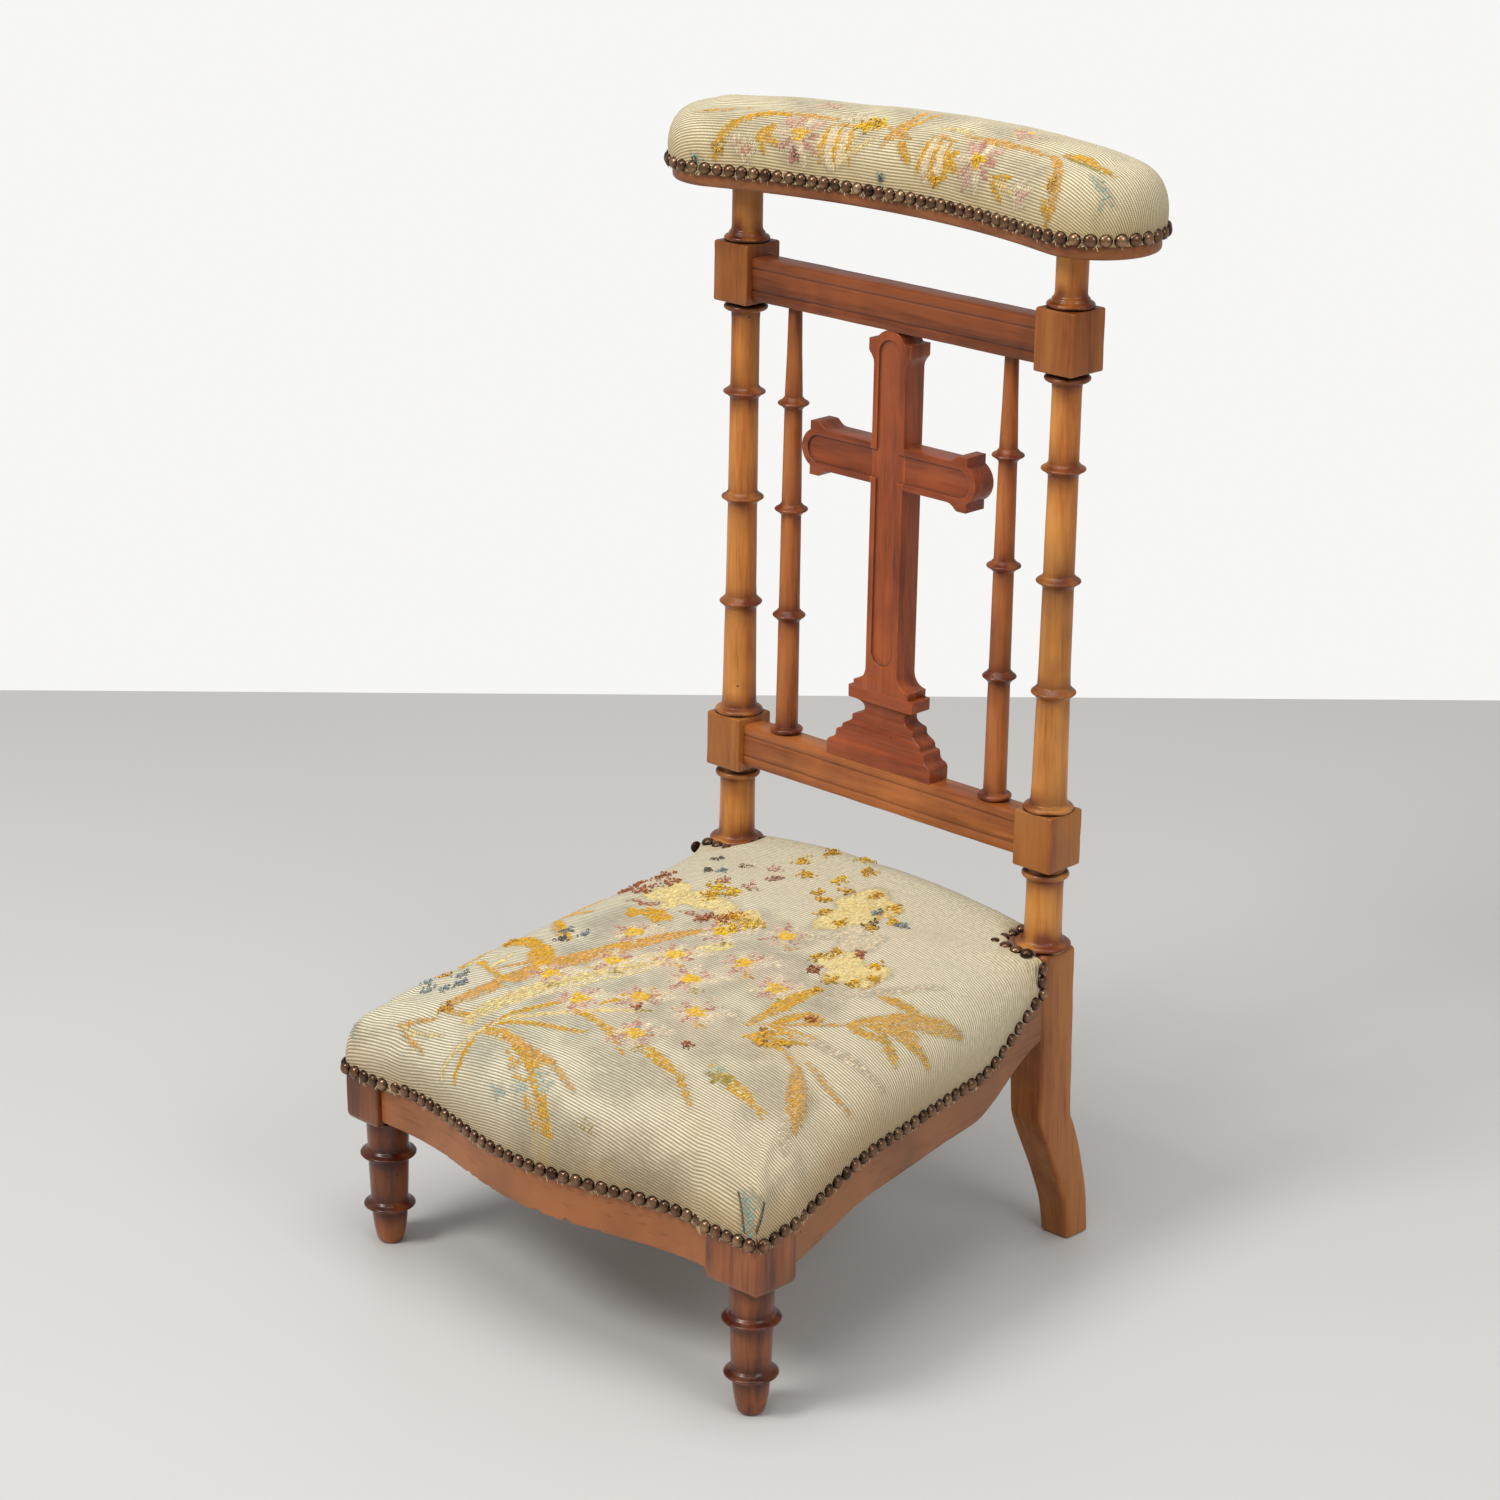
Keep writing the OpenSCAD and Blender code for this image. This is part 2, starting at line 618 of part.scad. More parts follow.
// Crowned volume of the seat above the deck, thicker by g
module seat_crown(g) {
  crown_r = 1150;
  shoulder = 16;
  side_h = 30 + g;
  mid_h = seat_crown_back + 3 + g;
  back = 375;
  on_deck() intersection() {
    along_y(-80, 420) polygon(concat([[230, -60], [230, side_h - shoulder]],
      [for (a = [0:15:75]) [230 - shoulder + shoulder*cos(a), side_h - shoulder + shoulder*sin(a)]],
      [for (x = [200:-20:-200]) [x, mid_h - (crown_r - sqrt(crown_r*crown_r - x*x))]],
      [for (a = [105:15:180]) [-230 + shoulder + shoulder*cos(a), side_h - shoulder + shoulder*sin(a)]],
      [[-230, -60]]));
    along_x(-230, 230) polygon(concat([[-60, -60], [back + 20, -60], [back + 20, 20]],
      quarter(back - 4, 24 + g, 22, 0), [[60, seat_crown_front + g]],
      quarter(-8 - g, seat_crown_front - 28 + g, 28, 90), [[-60, seat_crown_front - 28]]));
  }
}

module seat_volume(g) {
  intersection() {
    translate([0, 0, 120]) linear_extrude(200) seat_plan(g, false);
    seat_crown(g);
  }
}

module seat_stuffing() {
  color(HORSEHAIR) difference() {
    seat_volume(0);
    on_deck() translate([-300, -100, -100]) cube([600, 600, 100 + web_stack]);
  }
}

module seat_cover() {
  back_skirt_z = 191;
  lap_under = 4.5;
  ys = [for (i = [0:40]) front_y + (rear_face_y + 2 - front_y)*i/40];
  color(NEEDLEWORK) difference() {
    seat_volume(cover_t);
    // hollow for the stuffing above the deck, and for the rails below it
    difference() {
      seat_volume(0);
      on_deck() translate([-300, -100, -200]) cube([600, 600, 200]);
    }
    intersection() {
      linear_extrude(400) seat_plan(0, true);
      on_deck() translate([-300, -100, -200]) cube([600, 600, 200 + eps]);
    }
    // everything below the nailed edge
    along_x(-260, 260) polygon(concat([[-280, 0], [-280, nail_line(front_y) - lap_under]],
      [for (y = ys) [y, nail_line(y) - lap_under]],
      [[rear_face_y + 4, back_skirt_z], [260, back_skirt_z], [260, 0]]));
    both_sides() box([post_in_x - 0.3, rear_face_y + 3, 0], [260, 260, 400]);
  }
}

// Three straps each way on the frame's deck; the crosswise ones lie underneath
web_t = 1.5;
web_stack = 4.6;
web_x = [-80, 0, 80];
web_y = [62, 152, 242];

module seat_webbing_crosswise() {
  color(JUTE) on_deck() for (y = web_y) {
    reach = side_x(front_leg_y + y) - 9;
    translate([-reach, y, 0]) cube([2*reach, web_w, web_t]);
  }
}

module seat_webbing_lengthwise() {
  color(JUTE) on_deck() for (x = web_x) {
    start = front_face(x) - front_leg_y + 12;
    translate([x - web_w/2, start, web_t]) cube([web_w, 366 - start, web_t]);
  }
}

module webbing_tacks() {
  head_t = 0.7;
  inset = 7;
  color(IRON) on_deck() {
    for (x = web_x, side = [-1, 0, 1], far_end = [0, 1]) {
      y = far_end ? 358 : front_face(x) - front_leg_y + 20;
      translate([x + 17*side, y, 2*web_t]) cylinder(d = 7, h = head_t, $fn = 24);
    }
    both_sides() for (y = web_y, k = [-1, 0, 1])
      translate([side_x(front_leg_y + y) - 9 - inset, y + web_w/2 + 17*k, web_t])
        cylinder(d = 7, h = head_t, $fn = 24);
  }
}

module seat_hessian() {
  margin = 12;
  color(JUTE) intersection() {
    on_deck() translate([-300, -100, 2*web_t + 0.8]) cube([600, 600, 0.8]);
    linear_extrude(300) seat_plan(-margin, false);
  }
}

// ---------- nails ----------

module nail() {
  dome_r = (pow(nail_d/2, 2) + nail_h*nail_h)/(2*nail_h);
  intersection() {
    translate([0, 0, nail_h - dome_r]) sphere(dome_r, $fn = 32);
    translate([0, 0, nail_h/2]) cube([2*dome_r, 2*dome_r, nail_h], center = true);
  }
}

// Nail whose head faces the direction turned by angle from +X, in plan
module side_nail(x, y, z, angle) {
  translate([x, y, z]) rotate([0, 0, angle]) rotate([0, 90, 0]) nail();
}

nail_gap = cover_t + 0.3;

module seat_nails_front() {
  count = 2*round((block_out_x - 4)/nail_pitch);
  span = 2*(block_out_x - 4);
  color(BRASS) for (i = [0:count]) {
    x = -span/2 + span*i/count;
    on_block = abs(x) > block_in_x - 4;
    slope = on_block ? 0 : front_face(x + 0.5) - front_face(x - 0.5);
    y = on_block ? front_y : front_face(x);
    side_nail(x, y - nail_gap - (on_block ? 0 : 0.3), nail_line(front_y), atan(slope) - 90);
  }
}

module side_nails() {
  run = rear_face_y - 6 - front_y;
  count = round(run*1.03/nail_pitch);
  slant = atan((side_front_x - side_rear_x)/(rear_face_y - block_back_y));
  color(BRASS) {
    for (i = [0:count]) {
      y = front_y + 4 + run*i/count;
      on_block = y < block_back_y + 3;
      x = on_block ? block_out_x : side_x(y) + 0.3;
      side_nail(x + nail_gap, y, nail_line(y), on_block ? 0 : slant);
    }
    // short run up the front of the rear leg
    for (k = [1:2]) {
      y = rear_face_y - 3;
      side_nail(side_x(y) + nail_gap + 0.3, y, nail_line(y) + k*nail_pitch, slant);
    }
  }
}

module seat_nails_left() { mirror([1, 0, 0]) side_nails(); }
module seat_nails_right() { side_nails(); }

module seat_nails_back() {
  half = post_in_x - 8;
  count = 2*round(half/nail_pitch);
  color(BRASS) for (i = [0:count])
    side_nail(-half + 2*half*i/count, back_face_y + nail_gap, 196, 90);
}

// Nails in the top of the seat around the rear leg
module post_nails() {
  edge = 7;
  y0 = rear_face_y + 3 - edge;
  x0 = post_in_x - 0.3 - edge;
  top = deck(y0) + 32.5;
  module up(x, y) { translate([x, y, top + (y - y0)*0.05]) rotate([8, 0, 0]) nail(); }
  color(BRASS) {
    for (k = [0:3]) up(x0 + k*nail_pitch, y0);
    for (k = [1:3]) up(x0, y0 + k*nail_pitch);
  }
}

module seat_nails_post_left() { mirror([1, 0, 0]) post_nails(); }
module seat_nails_post_right() { post_nails(); }

module armrest_nails() {
  nail_r = board_half_w + nail_gap;
  z = board_z + 15.3;
  for_bend = [arm_bend_r - nail_r, arm_bend_r + nail_r];
  color(BRASS) {
    for (side = [0, 1]) {
      r = for_bend[side];
      count = round(2*end_angle*PI/180*r/nail_pitch);
      for (i = [0:count]) {
        a = -end_angle + 2*end_angle*i/count;
        side_nail(r*sin(a), bend_y + r*cos(a), z, 90 - a + (side == 0 ? 180 : 0));
      }
    }
    both_sides() {
      count = round(PI*nail_r/nail_pitch);
      for (i = [1:count - 1]) {
        a = -90 - end_angle + 180*i/count;
        side_nail(arm_end_x + nail_r*cos(a), end_y + nail_r*sin(a), z, a);
      }
    }
  }
}

front_leg_left();
front_leg_right();
rear_post_left();
rear_post_right();
front_seat_rail();
side_seat_rail_left();
side_seat_rail_right();
back_seat_rail();
corner_block_front_left();
corner_block_front_right();
corner_block_rear_left();
corner_block_rear_right();
upper_back_rail();
lower_back_rail();
spindle_left();
spindle_right();
cross_shaft();
cross_arm();
cross_plinth();
armrest_board();
seat_webbing_lengthwise();
seat_webbing_crosswise();
seat_hessian();
seat_stuffing();
seat_cover();
armrest_stuffing();
armrest_cover();
seat_nails_front();
seat_nails_left();
seat_nails_right();
seat_nails_back();
seat_nails_post_left();
seat_nails_post_right();
armrest_nails();
webbing_tacks();
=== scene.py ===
"""Kneeling bench (prie-dieu) in worn walnut with needlework pads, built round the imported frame."""

import math
import random

import bmesh
import bpy
import numpy as np
from mathutils import Matrix, Vector, noise
from mathutils.bvhtree import BVHTree


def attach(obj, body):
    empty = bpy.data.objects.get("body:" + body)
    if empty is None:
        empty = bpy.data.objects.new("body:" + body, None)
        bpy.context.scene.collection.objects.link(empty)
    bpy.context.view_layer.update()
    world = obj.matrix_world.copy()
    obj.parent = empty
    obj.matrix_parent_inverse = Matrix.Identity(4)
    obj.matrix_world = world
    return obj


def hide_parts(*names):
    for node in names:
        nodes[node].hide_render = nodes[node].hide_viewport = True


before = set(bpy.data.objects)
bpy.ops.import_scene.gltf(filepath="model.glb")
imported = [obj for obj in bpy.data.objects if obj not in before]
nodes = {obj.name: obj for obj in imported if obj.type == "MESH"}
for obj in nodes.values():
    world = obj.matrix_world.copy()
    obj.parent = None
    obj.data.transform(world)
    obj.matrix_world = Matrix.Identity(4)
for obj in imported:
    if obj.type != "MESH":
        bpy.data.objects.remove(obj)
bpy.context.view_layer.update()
scene = bpy.context.scene
rng = random.Random(7)
MM = 0.001

# ---------------------------------------------------------------- the bench's own measures, in mm
POST_X, POST_Y, RAKE = 160.5, 148.5, math.radians(0.9)
POST_W, POST_D = 35.4, 37.4
POST_IN = POST_X - POST_W / 2
FRONT_Y = -220.5
BLOCK_BACK = -179.5
BLOCK_IN, BLOCK_OUT, LEG_X = 166.0, 217.0, 193.0
RAIL_Y = FRONT_Y + 4.5
BOW_HALF, BOW = 155.0, 23.0
SIDE_FRONT_X, SIDE_REAR_X, REAR_FACE = 214.0, 178.5, 130.0
RAIL_T = 24.0
LOWER_RAIL, UPPER_RAIL, RAIL_H = 316.5, 694.5, 33.5
BACK_FACE, BACK_T = -13.0, 22.0
CROSS_W, CROSS_T, CROSS_REACH, CROSS_Z, CROSS_FOOT = 32.0, 21.6, 87.5, 590.7, 410.0
CROSS_FACE = BACK_FACE + 1
SPINDLE_X = 108.0
BOARD_Z, ARM_R, ARM_END = 783.0, 555.0, 180.0
ARM_Y = POST_Y + math.tan(RAKE) * BOARD_Z
BEND_Y = ARM_Y + 32.5 - ARM_R
END_Y = BEND_Y + math.sqrt(ARM_R ** 2 - ARM_END ** 2)
END_A = math.asin(ARM_END / ARM_R)
RAKED = Matrix.Translation((0, POST_Y, 0)) @ Matrix.Rotation(-RAKE, 4, "X")


def deck(y):
    return 164 + 0.154 * (y + 200)


def front_face(x):
    return RAIL_Y - (BOW * math.cos(math.pi * x / 2 / BOW_HALF) ** 2 if abs(x) < BOW_HALF else 0)


def ease(v, a, b):
    t = min(1.0, max(0.0, (v - a) / (b - a)))
    return t * t * (3 - 2 * t)


def side_edge(y):
    return (114 + 20 * ease(y, BLOCK_BACK - 15, -80) + 6 * ease(y, -100, 40)
            + 36 * ease(y, 40, REAR_FACE + 5))


def nail_line(y):
    if y < BLOCK_BACK:
        return 146 + 6 * ease(y, FRONT_Y, BLOCK_BACK)
    return 38 + side_edge(y) + 5 * ease(y, REAR_FACE - 30, REAR_FACE)


def side_x(y):
    return SIDE_FRONT_X + (SIDE_REAR_X - SIDE_FRONT_X) * (y - BLOCK_BACK) / (REAR_FACE - BLOCK_BACK)


# ---------------------------------------------------------------- node helpers
def linear(rgb):
    """Scene-linear colour with alpha, from a display colour of 0 to 255."""
    display = [v / 255 for v in rgb]
    return [(c / 12.92 if c <= 0.04045 else ((c + 0.055) / 1.055) ** 2.4) for c in display] + [1]


class Graph:
    """A small wrapper that makes node materials readable."""

    def __init__(self, name):
        self.mat = bpy.data.materials.new(name)
        self.mat.use_nodes = True
        self.tree = self.mat.node_tree
        self.tree.nodes.clear()
        self.out = self.tree.nodes.new("ShaderNodeOutputMaterial")
        self.shader = self.tree.nodes.new("ShaderNodeBsdfPrincipled")
        self.link(self.shader.outputs[0], self.out.inputs[0])

    def link(self, a, b):
        self.tree.links.new(a, b)

    def node(self, kind, inputs=None, **props):
        n = self.tree.nodes.new("ShaderNode" + kind)
        for k, v in props.items():
            setattr(n, k, v)
        for k, v in (inputs or {}).items():
            if isinstance(v, bpy.types.NodeSocket):
                self.link(v, n.inputs[k])
            else:
                n.inputs[k].default_value = v
        return n

    def math(self, op, a, b=None, c=None, clamp=False):
        n = self.tree.nodes.new("ShaderNodeMath")
        n.operation, n.use_clamp = op, clamp
        for i, v in enumerate((a, b, c)):
            if v is None:
                continue
            if isinstance(v, bpy.types.NodeSocket):
                self.link(v, n.inputs[i])
            else:
                n.inputs[i].default_value = v
        return n.outputs[0]

    def ramp(self, fac, stops):
        n = self.tree.nodes.new("ShaderNodeValToRGB")
        self.link(fac, n.inputs[0])
        el = n.color_ramp.elements
        while len(el) < len(stops):
            el.new(0.5)
        for e, (at, col) in zip(el, stops):
            e.position = at
            e.color = col if hasattr(col, "__len__") else (col, col, col, 1)
        return n.outputs[0]

    def mix(self, fac, a, b, blend="MIX"):
        n = self.tree.nodes.new("ShaderNodeMix")
        n.data_type, n.blend_type = "RGBA", blend
        for k, v in ((0, fac), (6, a), (7, b)):
            if isinstance(v, bpy.types.NodeSocket):
                self.link(v, n.inputs[k])
            else:
                n.inputs[k].default_value = v
        return n.outputs[2]

    def noise(self, vector, scale, detail=3.0, rough=0.55, distortion=0.0):
        return self.node("TexNoise", {"Vector": vector, "Scale": scale, "Detail": detail,
                                      "Roughness": rough, "Distortion": distortion}).outputs[0]

    def scaled(self, vector, scale, location=(0, 0, 0)):
        return self.node("Mapping", {"Vector": vector, "Scale": scale, "Location": location}).outputs[0]

    def finish(self, colour=None, rough=None, height=None, strength=0.3, distance=0.001, **fixed):
        for k, v in (("Base Color", colour), ("Roughness", rough)):
            if v is None:
                continue
            if isinstance(v, bpy.types.NodeSocket):
                self.link(v, self.shader.inputs[k])
            else:
                self.shader.inputs[k].default_value = v
        if height is not None:
            b = self.node("Bump", {"Height": height, "Strength": strength, "Distance": distance})
            self.link(b.outputs[0], self.shader.inputs["Normal"])
        for k, v in fixed.items():
            self.shader.inputs[k.replace("_", " ")].default_value = v
        return self.mat


def wood(name, dark, mid, light, grain="Z", patch=0.5, dirt_and_shade=0.75, wear_and_highlight=0.35, rough=0.36, seed=0.0,
         dirt_and_shade_mm=9.0, coat=0.2):
    """Old polished walnut: streaks along the grain, pores, worm holes, dirty hollows that also carry painted
    shade, rubbed edges that also carry a painted highlight.
    """
    g = Graph(name)
    where = g.node("TexCoord").outputs["Object"]
    along, across = 5.0, 60.0
    s = {"X": (along, across, across), "Y": (across, along, across), "Z": (across, across, along)}[grain]
    shift = (seed, seed * 1.7, seed * 0.6)
    p = g.scaled(where, s, shift)
    streaks = g.noise(p, 1.0, 5.0, 0.62, 0.6)
    fine = g.noise(p, 5.5, 4.0, 0.6, 0.2)
    figure = g.noise(g.scaled(where, [v * 0.22 for v in s], shift), 1.0, 2.0, 0.5, 1.2)
    tone = g.math("ADD", g.math("MULTIPLY", streaks, 0.55), g.math("MULTIPLY", fine, 0.2))
    tone = g.math("ADD", tone, g.math("MULTIPLY", figure, 0.35 * patch / 0.5))
    colour = g.ramp(tone, [(0.38, linear(dark)), (0.50, linear(mid)), (0.66, linear(light))])
    blotch = g.noise(g.scaled(where, (9, 9, 9), (seed + 3, 0, 0)), 1.0, 3.0, 0.6)
    colour = g.mix(g.ramp(blotch, [(0.45, 0.0), (0.75, 0.6)]), colour, linear([c * 0.72 for c in dark]))
    rubbed = g.noise(g.scaled(where, (14, 14, 7), (seed + 8, 2, 0)), 1.0, 3.0, 0.6)
    polished = linear([min(255, c * 1.12) for c in light])
    colour = g.mix(g.ramp(rubbed, [(0.52, 0.0), (0.72, 0.5)]), colour, polished)
    shaded = g.node("Attribute", attribute_name="tone").outputs["Fac"]
    colour = g.mix(shaded, colour, (0.31, 0.18, 0.19, 1), "MULTIPLY")
    pores = g.noise(g.scaled(where, [v * (6 if v == across else 3.2) for v in s], shift), 1.0, 2.0, 0.5)
    pore = g.ramp(pores, [(0.60, 0.0), (0.72, 1.0)])
    colour = g.mix(g.math("MULTIPLY", pore, 0.28), colour, linear([c * 0.45 for c in dark]))
    worm = g.node("TexVoronoi", {"Vector": g.scaled(where, (55, 55, 55), shift), "Scale": 1.0}).outputs[0]
    hole = g.ramp(worm, [(0.035, 1.0), (0.05, 0.0)])
    rare = g.ramp(g.noise(where, 16.0, 1.0), [(0.52, 0.0), (0.60, 1.0)])
    hole = g.math("MULTIPLY", hole, rare)
    # Hollows found by ambient occlusion go towards near black: partly real soiling, partly painted shade.
    ao = g.node("AmbientOcclusion", {"Distance": dirt_and_shade_mm * MM}, samples=6, only_local=True).outputs["AO"]
    hollow_dirt_and_shade = g.ramp(ao, [(0.4, 1.0), (0.95, 0.0)])
    hollow_patches = g.noise(where, 70.0, 3.0, 0.6)
    hollow_dirt_and_shade = g.math("MULTIPLY", hollow_dirt_and_shade, g.math("ADD", 0.55, hollow_patches), clamp=True)
    colour = g.mix(g.math("MULTIPLY", hollow_dirt_and_shade, dirt_and_shade), colour, linear((30, 15, 9)))
    # Edges found by ambient occlusion from inside go lighter: partly rubbed wear, partly a painted highlight.
    edge = g.node("AmbientOcclusion", {"Distance": 1.6 * MM}, samples=5, inside=True,
                  only_local=True).outputs["AO"]
    edge_wear_and_highlight = g.ramp(edge, [(0.30, 1.0), (0.76, 0.0)])
    edge_wear_and_highlight = g.math("MULTIPLY", edge_wear_and_highlight, g.ramp(g.noise(where, 45.0, 3.0), [(0.38, 0.15), (0.62, 1.0)]))
    colour = g.mix(g.math("MULTIPLY", edge_wear_and_highlight, wear_and_highlight), colour, linear([min(255, c * 1.22 + 14) for c in light]))
    colour = g.mix(g.math("MULTIPLY", hole, 0.9), colour, linear((20, 10, 6)))
    shine = g.math("ADD", g.math("MULTIPLY", g.noise(where, 30.0, 4.0), 0.22), rough - 0.1)
    shine = g.math("ADD", shine, g.math("MULTIPLY", hollow_dirt_and_shade, 0.25))
    height = g.math("SUBTRACT", g.math("MULTIPLY", fine, 0.25), g.math("MULTIPLY", pore, 0.35))
    height = g.math("SUBTRACT", height, g.math("MULTIPLY", hole, 3.0))
    height = g.math("ADD", height, g.math("MULTIPLY", g.noise(where, 55.0, 2.0), 0.8))
    return g.finish(colour, shine, height, 0.45, 0.0006, Coat_Weight=coat, Coat_Roughness=0.16,
                    Specular_IOR_Level=0.26)


POSTS = wood("walnut_posts", (112, 50, 18), (182, 108, 46), (210, 142, 66), "Z", 0.7, 0.9, 0.6, 0.34)
SPINDLES = wood("walnut_spindles", (104, 46, 18), (160, 88, 40), (186, 112, 54), "Z", 0.5, 0.85, 0.35)
# The upper back rail is a much darker copy of the lower rail's walnut: painted shade from the armrest board
# above it.
RAIL_UP_PAINTED_SHADE = wood("walnut_upper_rail_painted_shade", (58, 24, 10), (96, 44, 20), (134, 70, 34), "X", 0.7, 0.8, 0.45, 0.36, 1.3)
RAIL_LOW = wood("walnut_lower_rail", (84, 38, 16), (142, 76, 34), (172, 102, 50), "X", 0.7, 0.8, 0.45,
                0.36, 3.3)
CROSS_UP = wood("walnut_cross_shaft", (96, 40, 16), (148, 70, 32), (170, 88, 44), "Z", 0.4, 0.9, 0.8,
                0.36, 2.1, 8.0)
CROSS_OUT = wood("walnut_cross_arm", (92, 38, 16), (136, 62, 28), (160, 80, 40), "X", 0.4, 0.95, 0.8,
                 0.36, 4.4, 8.0)
LEGS = wood("walnut_legs", (96, 48, 21), (142, 78, 39), (170, 104, 57), "Z", 0.3, 0.9, 0.5,
            0.3, 5.2, 9.0, 0.3)
FRONT = wood("walnut_front_rail", (92, 44, 18), (134, 74, 36), (160, 98, 54), "X", 0.9, 0.75, 0.45,
             0.42, 6.6)
SIDES = wood("walnut_side_rails", (84, 44, 18), (126, 72, 34), (146, 92, 50), "Y", 0.9, 0.75, 0.45,
             0.4, 7.1)
BOARD = wood("walnut_board", (82, 38, 16), (128, 70, 34), (156, 96, 52), "X", 0.6, 0.75, 0.5, 0.38, 8.3)
BEECH = wood("beech_raw", (150, 112, 70), (186, 148, 100), (206, 172, 126), "X", 0.4, 0.5, 0.2, 0.7,
             9.0, 7.0, 0.0)


# ---------------------------------------------------------------- mesh helpers
def shape():
    return {"v": [], "f": [], "t": []}


def add(s, verts, faces, matrix=None, tone=0.0):
    """Adds a part to a shape. tone darkens it, from 0 to 1, as one value or one for each point."""
    base = len(s["v"])
    s["t"] += list(tone) if hasattr(tone, "__len__") else [tone] * len(verts)
    for v in verts:
        v = Vector(v)
        s["v"].append(matrix @ v if matrix else v)
    s["f"] += [[base + i for i in f] for f in faces]


def outward(mesh, weld=0.0):
    """Turns a closed mesh's normals outwards, after joining points that are nearer than weld."""
    bm = bmesh.new()
    bm.from_mesh(mesh)
    if weld:
        bmesh.ops.remove_doubles(bm, verts=bm.verts, dist=weld)
    bmesh.ops.recalc_face_normals(bm, faces=bm.faces)
    bm.to_mesh(mesh)
    bm.free()


def to_object(s, name, material, sharp=38, mirror=False):
    """Makes an object from a shape in mm, with its tone kept as an attribute."""
    verts = [((-v.x if mirror else v.x) * MM, v.y * MM, v.z * MM) for v in s["v"]]
    mesh = bpy.data.meshes.new(name)
    mesh.from_pydata(verts, [], s["f"])
    mesh.attributes.new("tone", "FLOAT", "POINT").data.foreach_set("value", s["t"])
    outward(mesh)
    mesh.shade_smooth()
    mesh.set_sharp_from_angle(angle=math.radians(sharp))
    mesh.materials.append(material)
    ob = bpy.data.objects.new(name, mesh)
    scene.collection.objects.link(ob)
    return ob


def piece(ob, slot, *cad):
    """Attaches a visual piece to the root body and hides the CAD nodes it stands for. slot is not used."""
    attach(ob, "root")
    if cad:
        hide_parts(*cad)
    return ob


def both(s, name, material, slot, cad, sharp=38):
    """Makes the right piece and its mirrored left one."""
    for side, mirror in (("right", False), ("left", True)):
        piece(to_object(s, f"{name}_{side}_wood", material, sharp, mirror), slot, f"{cad}_{side}")


def loft(loops, close_ends=True):
    """Skin between loops of equally many points."""
    n = len(loops[0])
    verts = [p for loop in loops for p in loop]
    faces = [[n * k + i, n * k + (i + 1) % n, n * (k + 1) + (i + 1) % n, n * (k + 1) + i]
             for k in range(len(loops) - 1) for i in range(n)]
    if close_ends:
        faces.append(list(range(n - 1, -1, -1)))
        faces.append([n * (len(loops) - 1) + i for i in range(n)])
    return verts, faces


def soften(points, step=0.8, sigma=0.55):
    """Resamples a profile finely, rounds its corners a little, and drops points it doesn't need."""
    p = np.array(points, float)
    seg = np.hypot(*np.diff(p, axis=0).T)
    at = np.concatenate([[0], np.cumsum(seg)])
    count = max(8, int(at[-1] / step))
    t = np.linspace(0, at[-1], count)
    q = np.stack([np.interp(t, at, p[:, k]) for k in (0, 1)], 1)
    real = t[1] - t[0]
    reach = max(1, int(3 * sigma / real))
    kernel = np.exp(-0.5 * (np.arange(-reach, reach + 1) * real / sigma) ** 2)
    kernel /= kernel.sum()
    pad = np.concatenate([np.repeat(q[:1], reach, 0), q, np.repeat(q[-1:], reach, 0)])
    q = np.stack([np.convolve(pad[:, k], kernel, "valid") for k in (0, 1)], 1)
    keep, last = [0], 0
    for i in range(2, len(q)):
        a, b = q[last], q[i]
        d = b - a
        length = np.hypot(*d)
        mid = q[last + 1:i] - a
        off = np.abs(mid[:, 0] * d[1] - mid[:, 1] * d[0]) / max(length, 1e-6)
        if off.max() > 0.02 or length > 9:
            keep.append(i - 1)
            last = i - 1
    return [tuple(q[i]) for i in keep] + [tuple(q[-1])]


def ring(r0, r1, z):
    return [(r0, z - 4.4), (r0 + 1.0, z - 4.3), (r0 + 1.5, z - 3.4), (r0 + 2.2, z - 2.5), (r1 - 0.7, z - 1.2),
            (r1, z - 0.3), (r1 - 0.5, z + 0.7), (r0 + 2.0, z + 2.4), (r0 + 1.3, z + 3.2),
            (r0 + 0.9, z + 4.2), (r0, z + 4.3)]


def collar(r0, r1, z0, z1):
    return [(r0 + (r1 - r0) * math.cos(a), (z0 + z1) / 2 + (z1 - z0) / 2 * math.sin(a))
            for a in [math.pi * i / 8 - math.pi / 2 for i in range(9)]]


def turned(s, profile, x, y, matrix=None, sides=56, wobble=0.12, darkened_heights=(), reach=12.0):
    """Turned part on an upright axis, darkened in patches near the given heights."""
    prof = soften(profile)
    loops, tones = [], []
    for r, z in prof:
        loop = []
        for i in range(sides):
            a = 2 * math.pi * i / sides
            w = wobble * noise.noise((math.cos(a) * 1.3 + x, math.sin(a) * 1.3, z * 0.03))
            loop.append((x + (r + w) * math.cos(a), y + (r + w) * math.sin(a), z))
            near = max([math.exp(-(abs(z - m) / reach) ** 1.3) for m in darkened_heights], default=0.0)
            patch = 0.85 + 0.9 * noise.noise((math.cos(a) * 1.1 + x, math.sin(a) * 1.1, z * 0.06))
            tones.append(min(1.0, max(0.0, near * patch)))
        loops.append(loop)
    v, f = loft(loops)
    add(s, v, f, matrix, tones)


def rounded_rect(x0, x1, y0, y1, r, z, arc=5):
    """Loop of a rectangle with rounded corners, with three points along each side."""
    pts = []
    corners = ((x1 - r, y0 + r, -90), (x1 - r, y1 - r, 0), (x0 + r, y1 - r, 90), (x0 + r, y0 + r, 180))
    for cx, cy, a0 in corners:
        for k in range(arc + 1):
            a = math.radians(a0 + 90 * k / arc)
            pts.append((cx + r * math.cos(a), cy + r * math.sin(a), z))
    full = []
    for i, p in enumerate(pts):
        q = pts[(i + 1) % len(pts)]
        full.append(p)
        if i % (arc + 1) == arc:
            m = 3
            full += [tuple(p[k] + (q[k] - p[k]) * j / (m + 1) for k in range(3))
                     for j in range(1, m + 1)]
    return full


